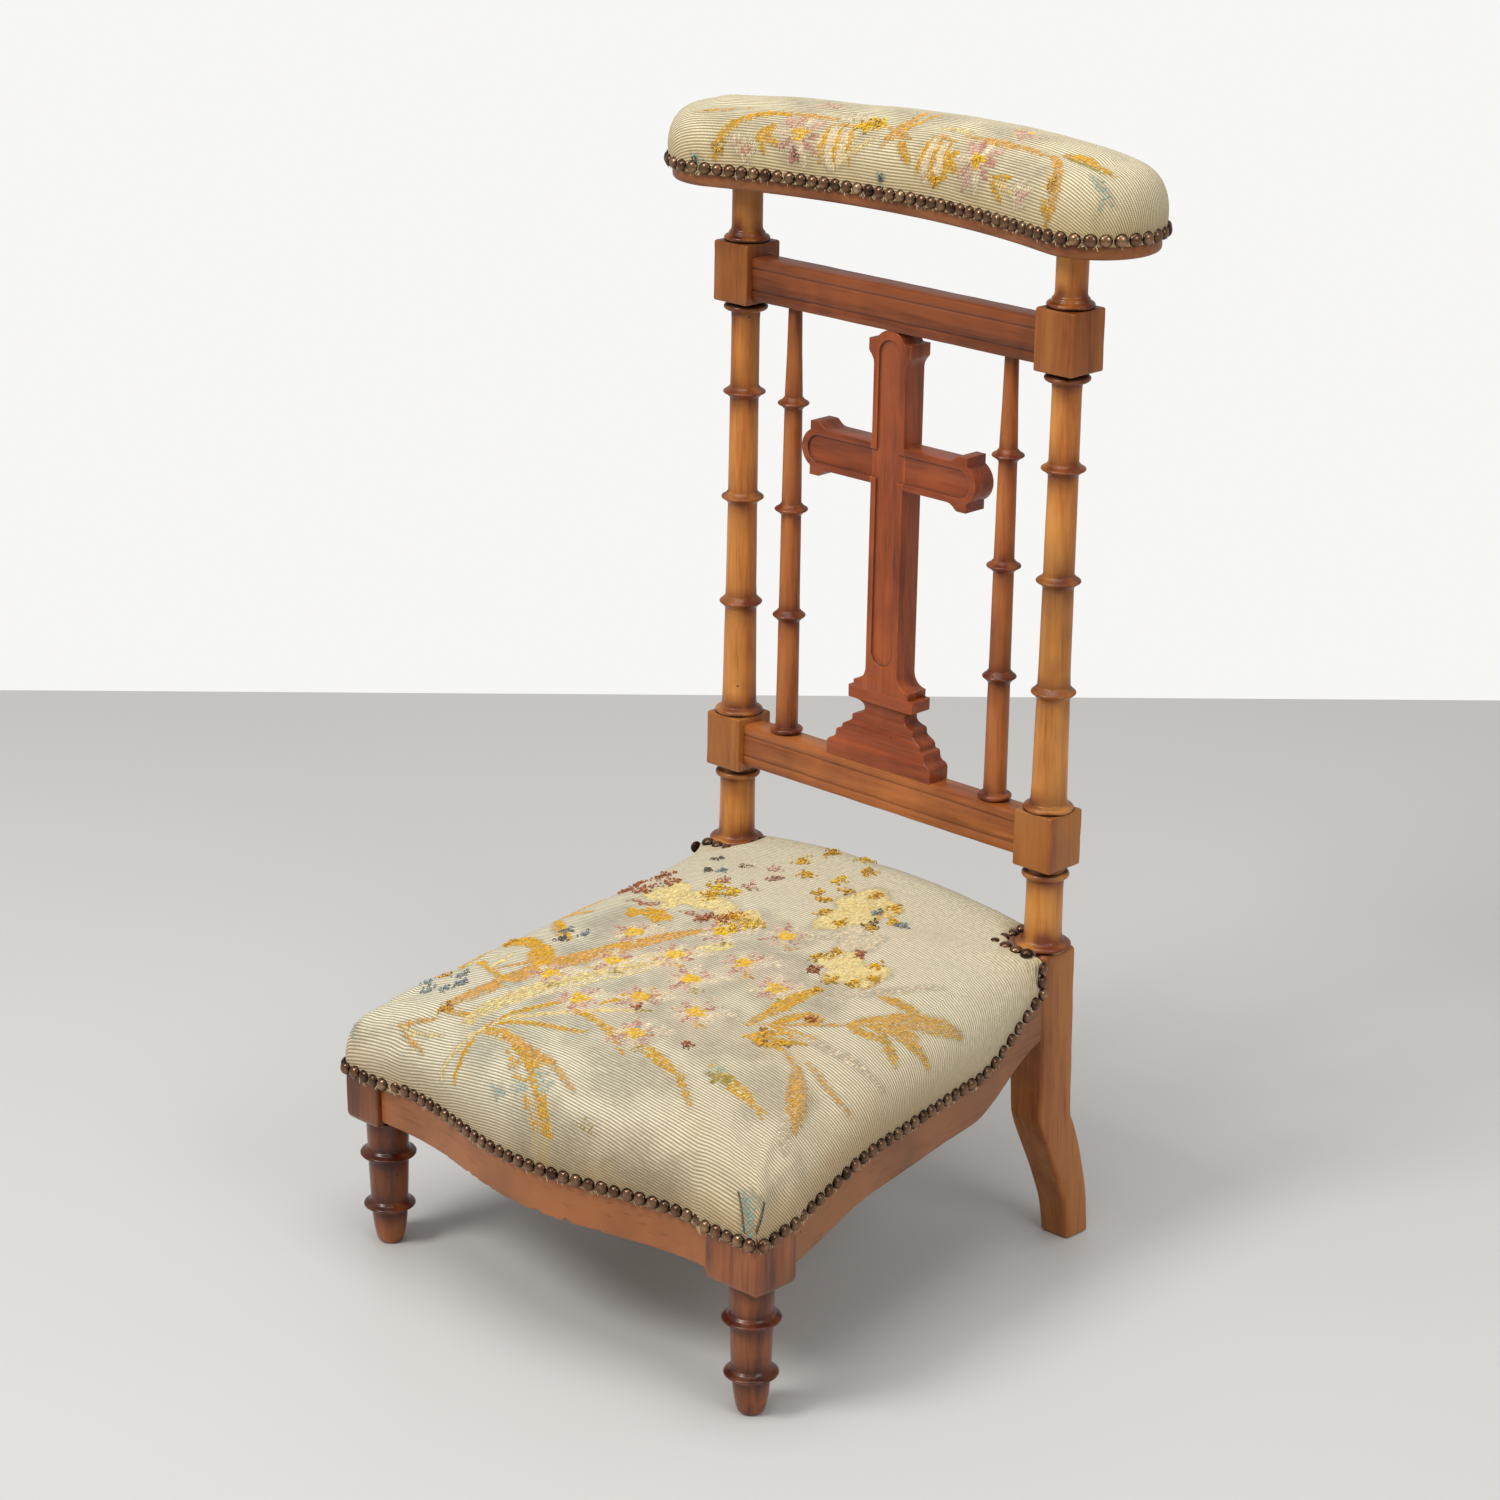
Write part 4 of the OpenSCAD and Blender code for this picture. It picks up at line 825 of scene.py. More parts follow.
def pad_sheet(name, inner, outer, top, cells, bulge, power, skirt, material, plan=None):
    """Upholstered sheet: a grid on top, and rings that run over the shoulder to the nailed edge.
    inner and outer are four curves each: front, right, back, left. Outer points carry the edge's z."""
    n, m = cells
    counts = (n, m, n, m)
    ins = [resample(c, k) for c, k in zip(inner, counts)]
    outs = [resample(c, k) for c, k in zip(outer, counts)]
    grid = coons(ins[0], ins[1], ins[2], ins[3])
    verts, weave = [], []
    index = {}
    for i in range(n + 1):
        for j in range(m + 1):
            x, y = grid[i, j]
            index[i, j] = len(verts)
            verts.append((x, y, top(x, y)))
            weave.append((*(plan(x, y) if plan else (x, y)), 80.0))
    faces = [[index[i, j], index[i + 1, j], index[i + 1, j + 1], index[i, j + 1]]
             for i in range(n) for j in range(m)]
    around = ([(i, 0) for i in range(n)] + [(n, j) for j in range(m)]
              + [(i, m) for i in range(n, 0, -1)] + [(0, j) for j in range(m, 0, -1)])
    rim = np.concatenate([outs[0][:-1], outs[1][:-1], outs[2][::-1][:-1], outs[3][::-1][:-1]])
    angles = [84, 77, 70, 63, 56, 49, 42, 35, 28, 21, 14, 7, 0]
    count = len(around)
    rings = [[index[a] for a in around]]
    start = [np.array(verts[k]) for k in rings[0]]
    w0 = [np.array(weave[k][:2]) for k in rings[0]]
    path = [0.0] * count
    last = [s.copy() for s in start]
    for a in angles + [-1] * len(skirt):
        step = len(rings) - 1
        ring = []
        for k in range(count):
            p, q = start[k], rim[k]
            out = np.array([q[0] - p[0], q[1] - p[1]])
            reach = np.hypot(*out)
            n2 = out / max(reach, 1e-6)
            rise = p[2] - q[2]
            if a >= 0:
                c, s_ = math.cos(math.radians(a)), math.sin(math.radians(a))
                d = reach * c ** (2 / power) + bulge * rise * math.sin(math.radians(2 * a)) ** 0.9
                z = q[2] + rise * s_ ** (2 / power)
            else:
                d, z = reach + 0.15, q[2] - skirt[step - len(angles)]
            pos = np.array([p[0] + n2[0] * d, p[1] + n2[1] * d, z])
            path[k] += np.linalg.norm(pos - last[k])
            last[k] = pos
            ring.append(len(verts))
            verts.append(tuple(pos))
            w = w0[k] + n2 * path[k]
            weave.append((w[0], w[1], path[k]))
        rings.append(ring)
    total = [p - sum(skirt[-1:]) for p in path]
    for ring in rings[1:]:
        for k, i in enumerate(ring):
            weave[i] = (weave[i][0], weave[i][1], max(0.0, total[k] - weave[i][2]))
    for k, i in enumerate(rings[0]):
        weave[i] = (weave[i][0], weave[i][1], total[k])
    for a, b in zip(rings, rings[1:]):
        faces += [[a[k], b[k], b[(k + 1) % count], a[(k + 1) % count]] for k in range(count)]
    mesh = bpy.data.meshes.new(name)
    mesh.from_pydata([(x * MM, y * MM, z * MM) for x, y, z in verts], [], faces)
    weave = [(u, v + 1.2 * noise.noise((u * 0.02, v * 0.03, 4)), e) for u, v, e in weave]
    attr = mesh.attributes.new("weave", "FLOAT_VECTOR", "POINT")
    attr.data.foreach_set("vector", np.array(weave, np.float32).ravel())
    bm = bmesh.new()
    bm.from_mesh(mesh)
    bmesh.ops.recalc_face_normals(bm, faces=bm.faces)
    if sum(f.normal.z for f in bm.faces) < 0:
        bmesh.ops.reverse_faces(bm, faces=bm.faces)
    bm.to_mesh(mesh)
    bm.free()
    mesh.materials.append(material)
    ob = bpy.data.objects.new(name, mesh)
    scene.collection.objects.link(ob)
    held = ob.vertex_groups.new(name="held")
    for ring, weight in ((rings[-1], 1.0), (rings[-2], 1.0), (rings[-3], 1.0), (rings[-4], 0.6)):
        held.add(ring, weight, "REPLACE")
    return ob, rings


def coordinates(mesh):
    co = np.zeros(len(mesh.vertices) * 3)
    mesh.vertices.foreach_get("co", co)
    return co.reshape(-1, 3)


def puff(ob, pressure, cap, frames=20):
    """Blows the sheet up with Cloth, held along its nailed edge, and keeps each point within cap."""
    rest = coordinates(ob.data)
    edge = np.array([d.vector[2] for d in ob.data.attributes["weave"].data])
    limit = np.array([[cap * MM * ease(e, 6, 26)] for e in edge])
    m = ob.modifiers.new("cloth", "CLOTH")
    m.settings.quality = 6
    m.settings.mass = 0.4
    m.settings.tension_stiffness = m.settings.compression_stiffness = 25
    m.settings.shear_stiffness = 12
    m.settings.bending_stiffness = 1.5
    m.settings.use_pressure = True
    m.settings.uniform_pressure_force = pressure
    m.settings.vertex_group_mass = "held"
    m.settings.effector_weights.gravity = 0
    m.collision_settings.use_collision = False
    m.point_cache.frame_start, m.point_cache.frame_end = 1, frames
    for k in range(1, frames + 1):
        scene.frame_set(k)
    done = ob.evaluated_get(bpy.context.evaluated_depsgraph_get())
    moved = coordinates(done.data) - rest
    far = np.linalg.norm(moved, axis=1, keepdims=True)
    moved *= np.minimum(1, limit / np.maximum(far, 1e-9))
    ob.modifiers.clear()
    ob.data.vertices.foreach_set("co", (rest + moved).ravel())
    ob.data.update()
    scene.frame_set(1)


def refined(ob, levels=1):
    m = ob.modifiers.new("fine", "SUBSURF")
    m.levels = m.render_levels = levels
    bpy.context.view_layer.update()
    applied(ob)
    ob.data.shade_smooth()


def thicken(ob, thick):
    m = ob.modifiers.new("cloth_thickness", "SOLIDIFY")
    m.thickness, m.offset = thick * MM, -1
    bpy.context.view_layer.update()
    applied(ob)
    ob.data.shade_smooth()


def mirrored(points):
    return [(-p[0], *p[1:]) for p in reversed(points)]


# ---------------------------------------------------------------- seat pad
AXIS = (POST_X, POST_Y + 245 * math.tan(RAKE))
CORNER = 9.0


def around_post(r, a0, a1, z, n=8):
    return [(AXIS[0] + r * math.cos(math.radians(a0 + (a1 - a0) * k / n)),
             AXIS[1] + r * math.sin(math.radians(a0 + (a1 - a0) * k / n)), z) for k in range(n + 1)]


def seat_front_y(x):
    return front_face(x) - 2.6 - 4.4 * ease(abs(x), 150, 168)


def seat_top(x, y):
    along = y + 200
    mid = 49.5 + 2.5 * ease(along, 0, 60) - 6 * ease(along, 60, 371)
    worn = 1.5 * noise.noise((x * 0.012, y * 0.012, 3)) + 0.6 * noise.noise((x * 0.03, y * 0.03, 8))
    return deck(y) + mid - 20 * (abs(x) / 190) ** 2.2 + worn


cx, cy = 219.5 - CORNER, -223 + CORNER
corner = [(cx + CORNER * math.cos(math.radians(a)), cy + CORNER * math.sin(math.radians(a)), 146)
          for a in range(-90, 1, 9)]
front_half = [(x, seat_front_y(x), 146) for x in np.arange(0, cx, 4)] + corner[:6]
right_side = corner[5:] + [(219.5, y, nail_line(y)) for y in np.arange(-210, -181, 4)]
for y in np.arange(-178, 128.1, 3):
    right_side.append((side_x(y) + 2.6 + 3 * (1 - ease(y, -181, -168)), y, nail_line(y)))
right_side += [(181.2, 130.4, 226), (181.0, 131.0, 236), (179.5, 130.6, 244), (176.5, 129.6, 246)]
right_side += around_post(26.2, -62, -135, 246.4)
back_half = [(0, 170.4, 196), (60, 170.4, 196), (134, 170.4, 196.5), (139.6, 169.4, 199), (140.6, 167.6, 212),
             (140.2, 166.6, 232), (138.4, 165.8, 243.5)] + around_post(26.2, 150, 225, 246.4)
inner_front = [(x, 0.8 * (seat_front_y(x) + 223) - 188) for x in np.arange(0, 187, 6)]
inner_right = [(186, -188)] + [(side_x(y) - 25 - 2 * ease(y, 40, 110), y) for y in np.arange(-176, 96, 6)]
inner_right += [(149, 112), (143, 123), (137, 129)]
inner_back = [(0, 151), (60, 151), (108, 150), (121, 146), (130, 138), (137, 129)]
inner = (mirrored(inner_front)[:-1] + inner_front, inner_right, mirrored(inner_back)[:-1] + inner_back,
         [(-p[0], p[1]) for p in inner_right])
outer = (mirrored(front_half)[:-1] + front_half, right_side, mirrored(back_half)[:-1] + back_half,
         [(-p[0], *p[1:]) for p in right_side])
seat, seat_rings = pad_sheet("seat_cushion", inner, outer, seat_top, (74, 66), 0.075, 2.35, (3.0, 5.2),
                             SEAT_CLOTH)
puff(seat, 2.2, 5.0)


def ripple(ob, rings, pitch, height, pleats=()):
    """Small dimples between the nails, and a sunk fold at each pleat."""
    mesh = ob.data
    mesh.update()
    co = coordinates(mesh)
    normals = np.array([v.normal for v in mesh.vertices])
    rim = co[rings[-3]]
    gap = np.linalg.norm(np.roll(rim, -1, 0) - rim, axis=1)
    at = np.concatenate([[0], np.cumsum(gap)[:-1]]) / MM
    for depth, ring in enumerate(reversed(rings[6:])):
        fade = math.exp(-max(0, depth - 2) / 2.6)
        for k, i in enumerate(ring):
            lift = height * fade * math.cos(2 * math.pi * at[k] / pitch)
            lift += 0.25 * fade * noise.noise((at[k] * .07, 0, 1))
            for where, width, deep in pleats:
                lift -= deep * math.exp(-((k - where) / width) ** 2) * math.exp(-max(0, depth - 5) ** 2 / 6)
            co[i] += normals[i] * lift * MM
    mesh.vertices.foreach_set("co", co.ravel())
    mesh.update()


ripple(seat, seat_rings, 10.6, 0.35,
       [(74 - 2.4, 0.9, 2.0), (74 + 2.6, 0.9, 2.0), (-2.4, 0.9, 1.6), (2.4, 0.9, 1.6)])
refined(seat)

# ---------------------------------------------------------------- armrest pad
ARM_CROWN, ARM_NAILS = 855.0, 798.5


def arm_frame(x, y):
    """Length along the armrest's bent middle line, and distance across it, in mm."""
    a = math.atan2(x, y - BEND_Y)
    if abs(a) <= END_A:
        return a * ARM_R, math.hypot(x, y - BEND_Y) - ARM_R
    s_ = 1 if a > 0 else -1
    ex, ey = s_ * ARM_END, END_Y
    tx, ty = s_ * math.cos(END_A), -math.sin(END_A)
    nx, ny = s_ * math.sin(END_A), math.cos(END_A)
    dx, dy = x - ex, y - ey
    return s_ * (END_A * ARM_R + dx * tx + dy * ty), dx * nx + dy * ny


def arm_top(x, y):
    along, off = arm_frame(x, y)
    past = max(0.0, abs(along) - END_A * ARM_R)
    t = math.hypot(off, past)
    return (ARM_CROWN - 1.5 - 4.5 * (t / 19) ** 2 - 3.0 * ease(abs(along), 90, 215)
            - 4.5 * ease(-along, -90, 130)
            + 0.9 * noise.noise((along * 0.02, off * 0.02, 5)))


def arm_side(w, a, b, count):
    return [arm_point(a + (b - a) * k / count, w) for k in range(count + 1)]


ARM_EDGE = 49.0


def arm_curves(w):
    front_c = arm_side(w, 2.72, 4.0, 90)[:-1] + [arm_point(t, w) for t in np.linspace(0, 0.28, 16)]
    right_c = arm_side(w, 0.28, 0.72, 20)
    back_c = [arm_point(t, w) for t in np.linspace(2.28, 2.0, 16)][:-1] + [
        arm_point(t, w) for t in np.linspace(1.9999, 1.0, 80)][:-1] + [
        arm_point(t, w) for t in np.linspace(0.9999, 0.72, 16)]
    left_c = [arm_point(t, w) for t in np.linspace(2.72, 2.28, 20)]
    return front_c, right_c, back_c, left_c


arm_outer = [[(x, y, ARM_NAILS) for x, y in c] for c in arm_curves(ARM_EDGE)]
arm_pad, arm_rings = pad_sheet("armrest_cushion", arm_curves(20.0), arm_outer, arm_top, (100, 10), 0.075,
                               2.15, (2.6, 4.6), ARM_CLOTH, arm_frame)
puff(arm_pad, 2.0, 3.5)
ripple(arm_pad, arm_rings, 10.55, 0.4)
refined(arm_pad)

# ---------------------------------------------------------------- wool embroidery
# display colours of the yarns
WOOL = {"gold": (222, 170, 34), "yellow": (240, 194, 48), "ochre": (220, 168, 82), "straw": (238, 216, 150),
        "cream": (234, 216, 184), "pink": (216, 174, 156), "rose": (196, 140, 124), "blush": (224, 198, 178),
        "wheat": (224, 172, 54), "tan": (214, 168, 92), "rust": (176, 100, 62), "blue": (150, 162, 166),
        "sky": (164, 196, 200), "teal": (136, 184, 176), "dark": (92, 92, 84), "olive": (170, 150, 60),
        "canvas": (226, 208, 168)}


class Canvas:
    """Wool worked on a pad, laid out in the cloth's own millimetres."""

    def __init__(self, u_range, v_range):
        self.u = np.arange(u_range[0], u_range[1], STITCH_STEP)
        self.v = np.arange(math.floor(v_range[0] / RIB), v_range[1] / RIB) * RIB
        self.U, self.V = np.meshgrid(self.u, self.v, indexing="ij")
        size = self.U.shape
        self.colour = np.zeros((*size, 3))
        self.keep = np.zeros(size)
        self.tint = np.zeros((*size, 3))
        self.dye = np.zeros(size)
        self.tufts = []
        self.seams = []
        self.random = np.random.default_rng(11)
        self.jag = self.random.normal(0, 1, size)

    def paint(self, inside, wool, keep, dye):
        """inside is 1 well within the shape and falls to 0 at its edge, in mm."""
        hit = inside + 0.7 * self.jag > 0
        if keep > 0:
            self.colour[hit] = WOOL[wool]
            self.keep[hit] = keep
        soft = np.clip(0.5 + inside / (5 if keep else 18), 0, 1) * dye
        self.tint = self.tint * (1 - soft[..., None]) + np.array(WOOL[wool]) * soft[..., None]
        self.dye = np.maximum(self.dye, soft)

    def stroke(self, wool, widths, *points, keep=0.97, dye=0.6):
        """A band along a line of points, whose width runs through the given widths."""
        p = smooth_line(points)
        best = np.full(self.U.shape, -1e9)
        for k in range(len(p) - 1):
            a, b = p[k], p[k + 1]
            d = b - a
            t = np.clip(((self.U - a[0]) * d[0] + (self.V - a[1]) * d[1]) / max(d @ d, 1e-9), 0, 1)
            far = np.hypot(self.U - a[0] - t * d[0], self.V - a[1] - t * d[1])
            width = np.interp((k + t) / (len(p) - 1), np.linspace(0, 1, len(widths)), widths)
            best = np.maximum(best, width / 2 - far)
        self.paint(best, wool, keep, dye)

    def blob(self, wool, centre, rx, ry, keep=0.95, dye=0.6, ragged=1.5):
        du, dv = self.U - centre[0], self.V - centre[1]
        wave = ragged * np.sin(np.arctan2(dv, du) * 5 + centre[0]) + ragged * np.sin(np.arctan2(dv, du) * 3)
        inside = (1 - np.hypot(du / rx, dv / ry)) * min(rx, ry) + wave
        self.paint(inside, wool, keep, dye)

    def area(self, wool, *corners, keep=0.5, dye=0.7):
        """A patch with the given corners, which run the same way round."""
        c = np.array(corners, float)
        cross = np.zeros(self.U.shape, bool)
        near = np.full(self.U.shape, 1e9)
        for a, b in zip(c, np.roll(c, -1, 0)):
            d = b - a
            t = np.clip(((self.U - a[0]) * d[0] + (self.V - a[1]) * d[1]) / (d @ d), 0, 1)
            near = np.minimum(near, np.hypot(self.U - a[0] - t * d[0], self.V - a[1] - t * d[1]))
            spans = (a[1] > self.V) != (b[1] > self.V)
            at = a[0] + (self.V - a[1]) * d[0] / (d[1] if d[1] else 1e-9)
            cross ^= spans & (self.U < at)
        self.paint(np.where(cross, near, -near), wool, keep, dye)

    def daisy(self, u, v, r=18.0, heart=7.8, petals=10, keep=0.6):
        self.blob("blush", (u, v), r, r * 0.95, keep=0, dye=0.6, ragged=2.2)
        turn = (u * 7 + v * 3) % 1.0
        for k in range(petals):
            a = 2 * math.pi * (k + turn) / petals
            tone = ("pink", "cream", "rose")[(k + int(u)) % 3]
            reach = r * (0.85 + 0.25 * ((k * 37 + int(v)) % 10) / 10)
            tip = (u + reach * math.cos(a), v + reach * math.sin(a))
            start = (u + heart * 0.8 * math.cos(a), v + heart * 0.8 * math.sin(a))
            self.stroke(tone, (3, 6.5, 3.5), start, tip, keep=keep, dye=0.6)
        self.blob("yellow", (u, v), heart, heart * 0.8, ragged=0.8)

    def tuft(self, wool, u, v, spread=5.0, count=9):
        self.tufts.append((wool, u, v, spread, count))

    def seam(self, *points):
        self.seams.append(smooth_line(points))

    def dye_at(self, weave):
        """Dye colour and strength at points of the cloth."""
        i = np.clip(((weave[:, 0] - self.u[0]) / STITCH_STEP).round().astype(int), 0, len(self.u) - 1)
        j = np.clip(((weave[:, 1] - self.v[0]) / RIB).round().astype(int), 0, len(self.v) - 1)
        return self.tint[i, j], self.dye[i, j]


def smooth_line(points, steps=5):
    """Catmull-Rom curve through the points."""
    p = np.array(points, float)
    if len(p) < 3:
        return p
    q = np.vstack([2 * p[0] - p[1], p, 2 * p[-1] - p[-2]])
    out = []
    for k in range(len(p) - 1):
        a, b, c, d = q[k:k + 4]
        for s in range(steps):
            t = s / steps
            out.append(0.5 * (2 * b + (c - a) * t + (2 * a - 5 * b + 4 * c - d) * t * t
                              + (3 * b - a - 3 * c + d) * t ** 3))
    return np.array(out + [p[-1]])


class Surface:
    """Finds places on a pad from the cloth's own coordinates."""

    def __init__(self, ob):
        mesh = ob.data
        mesh.calc_loop_triangles()
        self.weave = np.zeros(len(mesh.vertices) * 3)
        mesh.attributes["weave"].data.foreach_get("vector", self.weave)
        self.weave = self.weave.reshape(-1, 3)
        self.co = coordinates(mesh) / MM
        self.tris = np.array([t.vertices[:] for t in mesh.loop_triangles])
        flat = [(u, v, 0.0) for u, v, _ in self.weave]
        self.tree = BVHTree.FromPolygons(flat, self.tris.tolist())

    def at(self, u, v):
        """Place in mm, the directions of u, v there, and outward normal. None off the cloth."""
        hit = self.tree.ray_cast((u, v, 5.0), (0, 0, -1))
        if hit[0] is None:
            return None
        i, j, k = self.tris[hit[2]]
        a, b, c = self.weave[i, :2], self.weave[j, :2], self.weave[k, :2]
        A, B, C = self.co[i], self.co[j], self.co[k]
        det = (b[0] - a[0]) * (c[1] - a[1]) - (c[0] - a[0]) * (b[1] - a[1])
        if abs(det) < 1e-6:
            return None
        du = ((B - A) * (c[1] - a[1]) - (C - A) * (b[1] - a[1])) / det
        dv = ((C - A) * (b[0] - a[0]) - (B - A) * (c[0] - a[0])) / det
        n = np.cross(B - A, C - A)
        n /= np.linalg.norm(n) + 1e-12
        return A + du * (u - a[0]) + dv * (v - a[1]), du, dv, n


class Wool:
    """Collects coloured stitches and strands into one mesh."""

    def __init__(self):
        self.verts, self.faces, self.tints = [], [], []

    def stitch(self, place, slant, length, width, height, tint):
        at, du, dv, n = place
        along = dv * (length / 2) + du * slant
        side = np.cross(n, along)
        side *= width / 2 / (np.linalg.norm(side) + 1e-9)
        base = len(self.verts)
        low = at - n * 0.12
        self.verts += [low - along - side * .6, low - along + side * .6, low + along + side * .6,
                       low + along - side * .6, low - side, low + side, at - along * 0.55 + n * height,
                       at + along * 0.55 + n * height]
        ridge = ((0, 1, 6), (1, 5, 6), (5, 7, 6), (5, 2, 7), (2, 3, 7), (3, 4, 7), (4, 6, 7), (4, 0, 6))
        underside = (0, 4, 3, 2, 5, 1)
        self.faces += [[base + k for k in face] for face in (*ridge, underside)]
        self.tints += [tint] * 8

    def strand(self, points, radius, tint, sides=5, steps=3):
        """A tapered thread through the points."""
        p = smooth_line(points, steps) if len(points) > 2 else np.array(points, float)
        base = len(self.verts)
        for k, q in enumerate(p):
            d = p[min(k + 1, len(p) - 1)] - p[max(k - 1, 0)]
            d /= np.linalg.norm(d) + 1e-9
            other = np.array((0.3, 0.9, 0.2)) if abs(d[2]) > 0.8 else np.array((0.0, 0.0, 1.0))
            x = np.cross(d, other)
            x /= np.linalg.norm(x) + 1e-9
            y = np.cross(d, x)
            r = radius * (0.35 if k in (0, len(p) - 1) else 1.0)
            self.verts += [q + r * (x * math.cos(a) + y * math.sin(a))
                           for a in [2 * math.pi * s / sides for s in range(sides)]]
            self.tints += [tint] * sides
        rows = len(p) - 1
        for k in range(rows):
            for s in range(sides):
                a, b = base + k * sides + s, base + k * sides + (s + 1) % sides
                self.faces.append([a, a + sides, b + sides, b])
        self.faces.append([base + s for s in range(sides)])
        self.faces.append([base + rows * sides + s for s in range(sides - 1, -1, -1)])

    def curl(self, place, size, radius, tint, random):
        """A small loop of wool that stands off the cloth."""
        at, du, dv, n = place
        turn = random.uniform(0, 2 * math.pi)
        d = du * math.cos(turn) + dv * math.sin(turn)
        e = -du * math.sin(turn) + dv * math.cos(turn)
        bend = random.uniform(-0.5, 0.5)
        lift = random.uniform(0.35, 0.8)
        self.strand([at - d * size * 0.5, at - d * size * 0.35 + n * size * lift * 0.7 + e * bend,
                     at + n * size * lift, at + d * size * 0.4 + n * size * lift * 0.6 - e * bend * 2,
                     at + d * size * 0.55 - n * 0.2], radius, tint, 4, 2)

    def object(self, name, material):
        mesh = bpy.data.meshes.new(name)
        mesh.from_pydata([tuple(v * MM) for v in self.verts], [], self.faces)
        outward(mesh)
        attr = mesh.attributes.new("tint", "FLOAT_COLOR", "POINT")
        attr.data.foreach_set("color", np.array([linear(t) for t in self.tints], np.float32).ravel())
        mesh.shade_smooth()
        mesh.materials.append(material)
        ob = bpy.data.objects.new(name, mesh)
        scene.collection.objects.link(ob)
        return ob


def worsted():
    """Dyed wool yarn: the tint attribute, broken by fibres and dulled in patches."""
    g = Graph("worsted_wool")
    where = g.node("TexCoord").outputs["Object"]
    tint = g.node("Attribute", attribute_name="tint").outputs["Color"]
    fibre = g.noise(where, 1100.0, 3.0, 0.65)
    colour = g.mix(g.ramp(fibre, [(0.35, 0.5), (0.62, 0.0)]), tint, linear((176, 160, 132)), "MULTIPLY")
    soil = g.noise(where, 90.0, 3.0, 0.6)
    colour = g.mix(g.ramp(soil, [(0.5, 0.0), (0.8, 0.45)]), colour, linear((150, 130, 98)))
    return g.finish(colour, 0.88, fibre, 0.6, 0.0003, Sheen_Weight=0.2, Sheen_Roughness=0.5,
                    Specular_IOR_Level=0.18)


WORSTED = worsted()


def shade(wool, random, spread=0.07):
    k = 1 + random.normal(0, spread)
    return [min(255, c * k) for c in WOOL[wool]]


def work(name, pad, canvas, slot):
    """Turns a canvas into stitches and tufts on its pad, and dyes the cloth under them."""
    surface = Surface(pad)
    random = canvas.random
    wool = Wool()
    worn = 0.5 + 0.5 * np.sin(canvas.U * 0.043 + 1.3 * np.sin(canvas.V * 0.031)) * np.sin(canvas.V * 0.057)
    chosen = np.argwhere(random.random(canvas.keep.shape) < canvas.keep * (1 - 0.12 * worn))
    for i, j in chosen:
        u = canvas.U[i, j] + (j % 2) * STITCH_STEP / 2 + random.normal(0, 0.12)
        place = surface.at(u, canvas.V[i, j] + random.normal(0, 0.1))
        if place is None:
            continue
        k = 1 + random.normal(0, 0.075)
        tint = [min(255, c * k) for c in canvas.colour[i, j]]
        wool.stitch(place, 0.42 + random.normal(0, 0.1), 2.75, 1.32, 0.5 + random.normal(0, 0.09), tint)
    tufted = Wool()
    for kind, u, v, spread, count in canvas.tufts:
        for _ in range(int(count * 1.9)):
            du, dv = random.normal(0, spread / 2, 2)
            place = surface.at(u + du, v + dv)
            if place is not None:
                tufted.curl(place, random.uniform(1.5, 3.2), random.uniform(0.4, 0.62),
                            shade(kind, random, 0.12), random)
    for line in canvas.seams:
        places = [surface.at(u, v) for u, v in resample(line, 16)]
        places = [p for p in places if p is not None]
        wool.strand([p[0] + 0.1 * p[3] for p in places], 0.4, (84, 76, 56))
        for at, du, dv, n in places[1:-1]:
            side = -du * 2.4 + dv * random.normal(0, 0.3)
            wool.strand([at - n * 0.2, at + side * 0.5 + n * 0.55, at + side - n * 0.1], 0.33, (104, 94, 70))
    piece(wool.object(name, WORSTED), slot)
    piece(tufted.object(name.replace("embroidery", "wool_tufts"), WORSTED), slot)
    tint, strength = canvas.dye_at(surface.weave)
    colours = np.array([linear(t) for t in tint])
    colours[:, 3] = strength
    mesh = pad.data
    attr = mesh.attributes.new("dye", "FLOAT_COLOR", "POINT")
    attr.data.foreach_set("color", colours.astype(np.float32).ravel())


# ---------------------------------------------------------------- motifs of the needlework
def leaf(canvas, wool, at, heading, length, width, bend=0.0, keep=0.95):
    """A leaf that leaves a point at a heading and bends evenly by bend degrees along its length."""
    steps, turn = 6, math.radians(heading)
    line = [np.array(at, float)]
    for _ in range(steps):
        turn += math.radians(bend) / steps
        line.append(line[-1] + length / steps * np.array((math.cos(turn), math.sin(turn))))
    canvas.stroke(wool, (0.4 * width, width, width, 0.4 * width), *line, keep=keep)
    return line


def fan(canvas, wools, at, first, last, count, length, width, bend=0.0):
    """Leaves from one point, spread evenly between two headings."""
    for k in range(count):
        heading = first + (last - first) * k / max(count - 1, 1)
        leaf(canvas, wools[k % len(wools)], at, heading, length * (0.85 + 0.3 * (k % 2)), width, bend)


def spray(canvas, wools, at, heading, length, pairs, size, width):
    """A stem with pairs of leaves that get smaller towards its tip."""
    stem = leaf(canvas, wools[0], at, heading, length, 3.4, 8)
    for k in range(pairs):
        foot = stem[1 + round(4 * k / max(pairs - 1, 1))]
        for side in (-1, 1):
            leaf(canvas, wools[(k + 1) % len(wools)], foot, heading + 48 * side, size * (1 - 0.2 * k), width,
                 -40 * side)
    leaf(canvas, wools[-1], stem[-1], heading, size, width * 1.5)


def outlined(canvas, at, heading, length):
    """A pale leaf between two bowed gold lines."""
    leaf(canvas, "straw", at, heading, length * 0.9, 5, keep=0.7)
    for side in (-1, 1):
        leaf(canvas, "gold", at, heading + 16 * side, length, 4.4, -32 * side)


# angle in degrees between one seed of a sunflower and the next
GOLDEN = 137.5


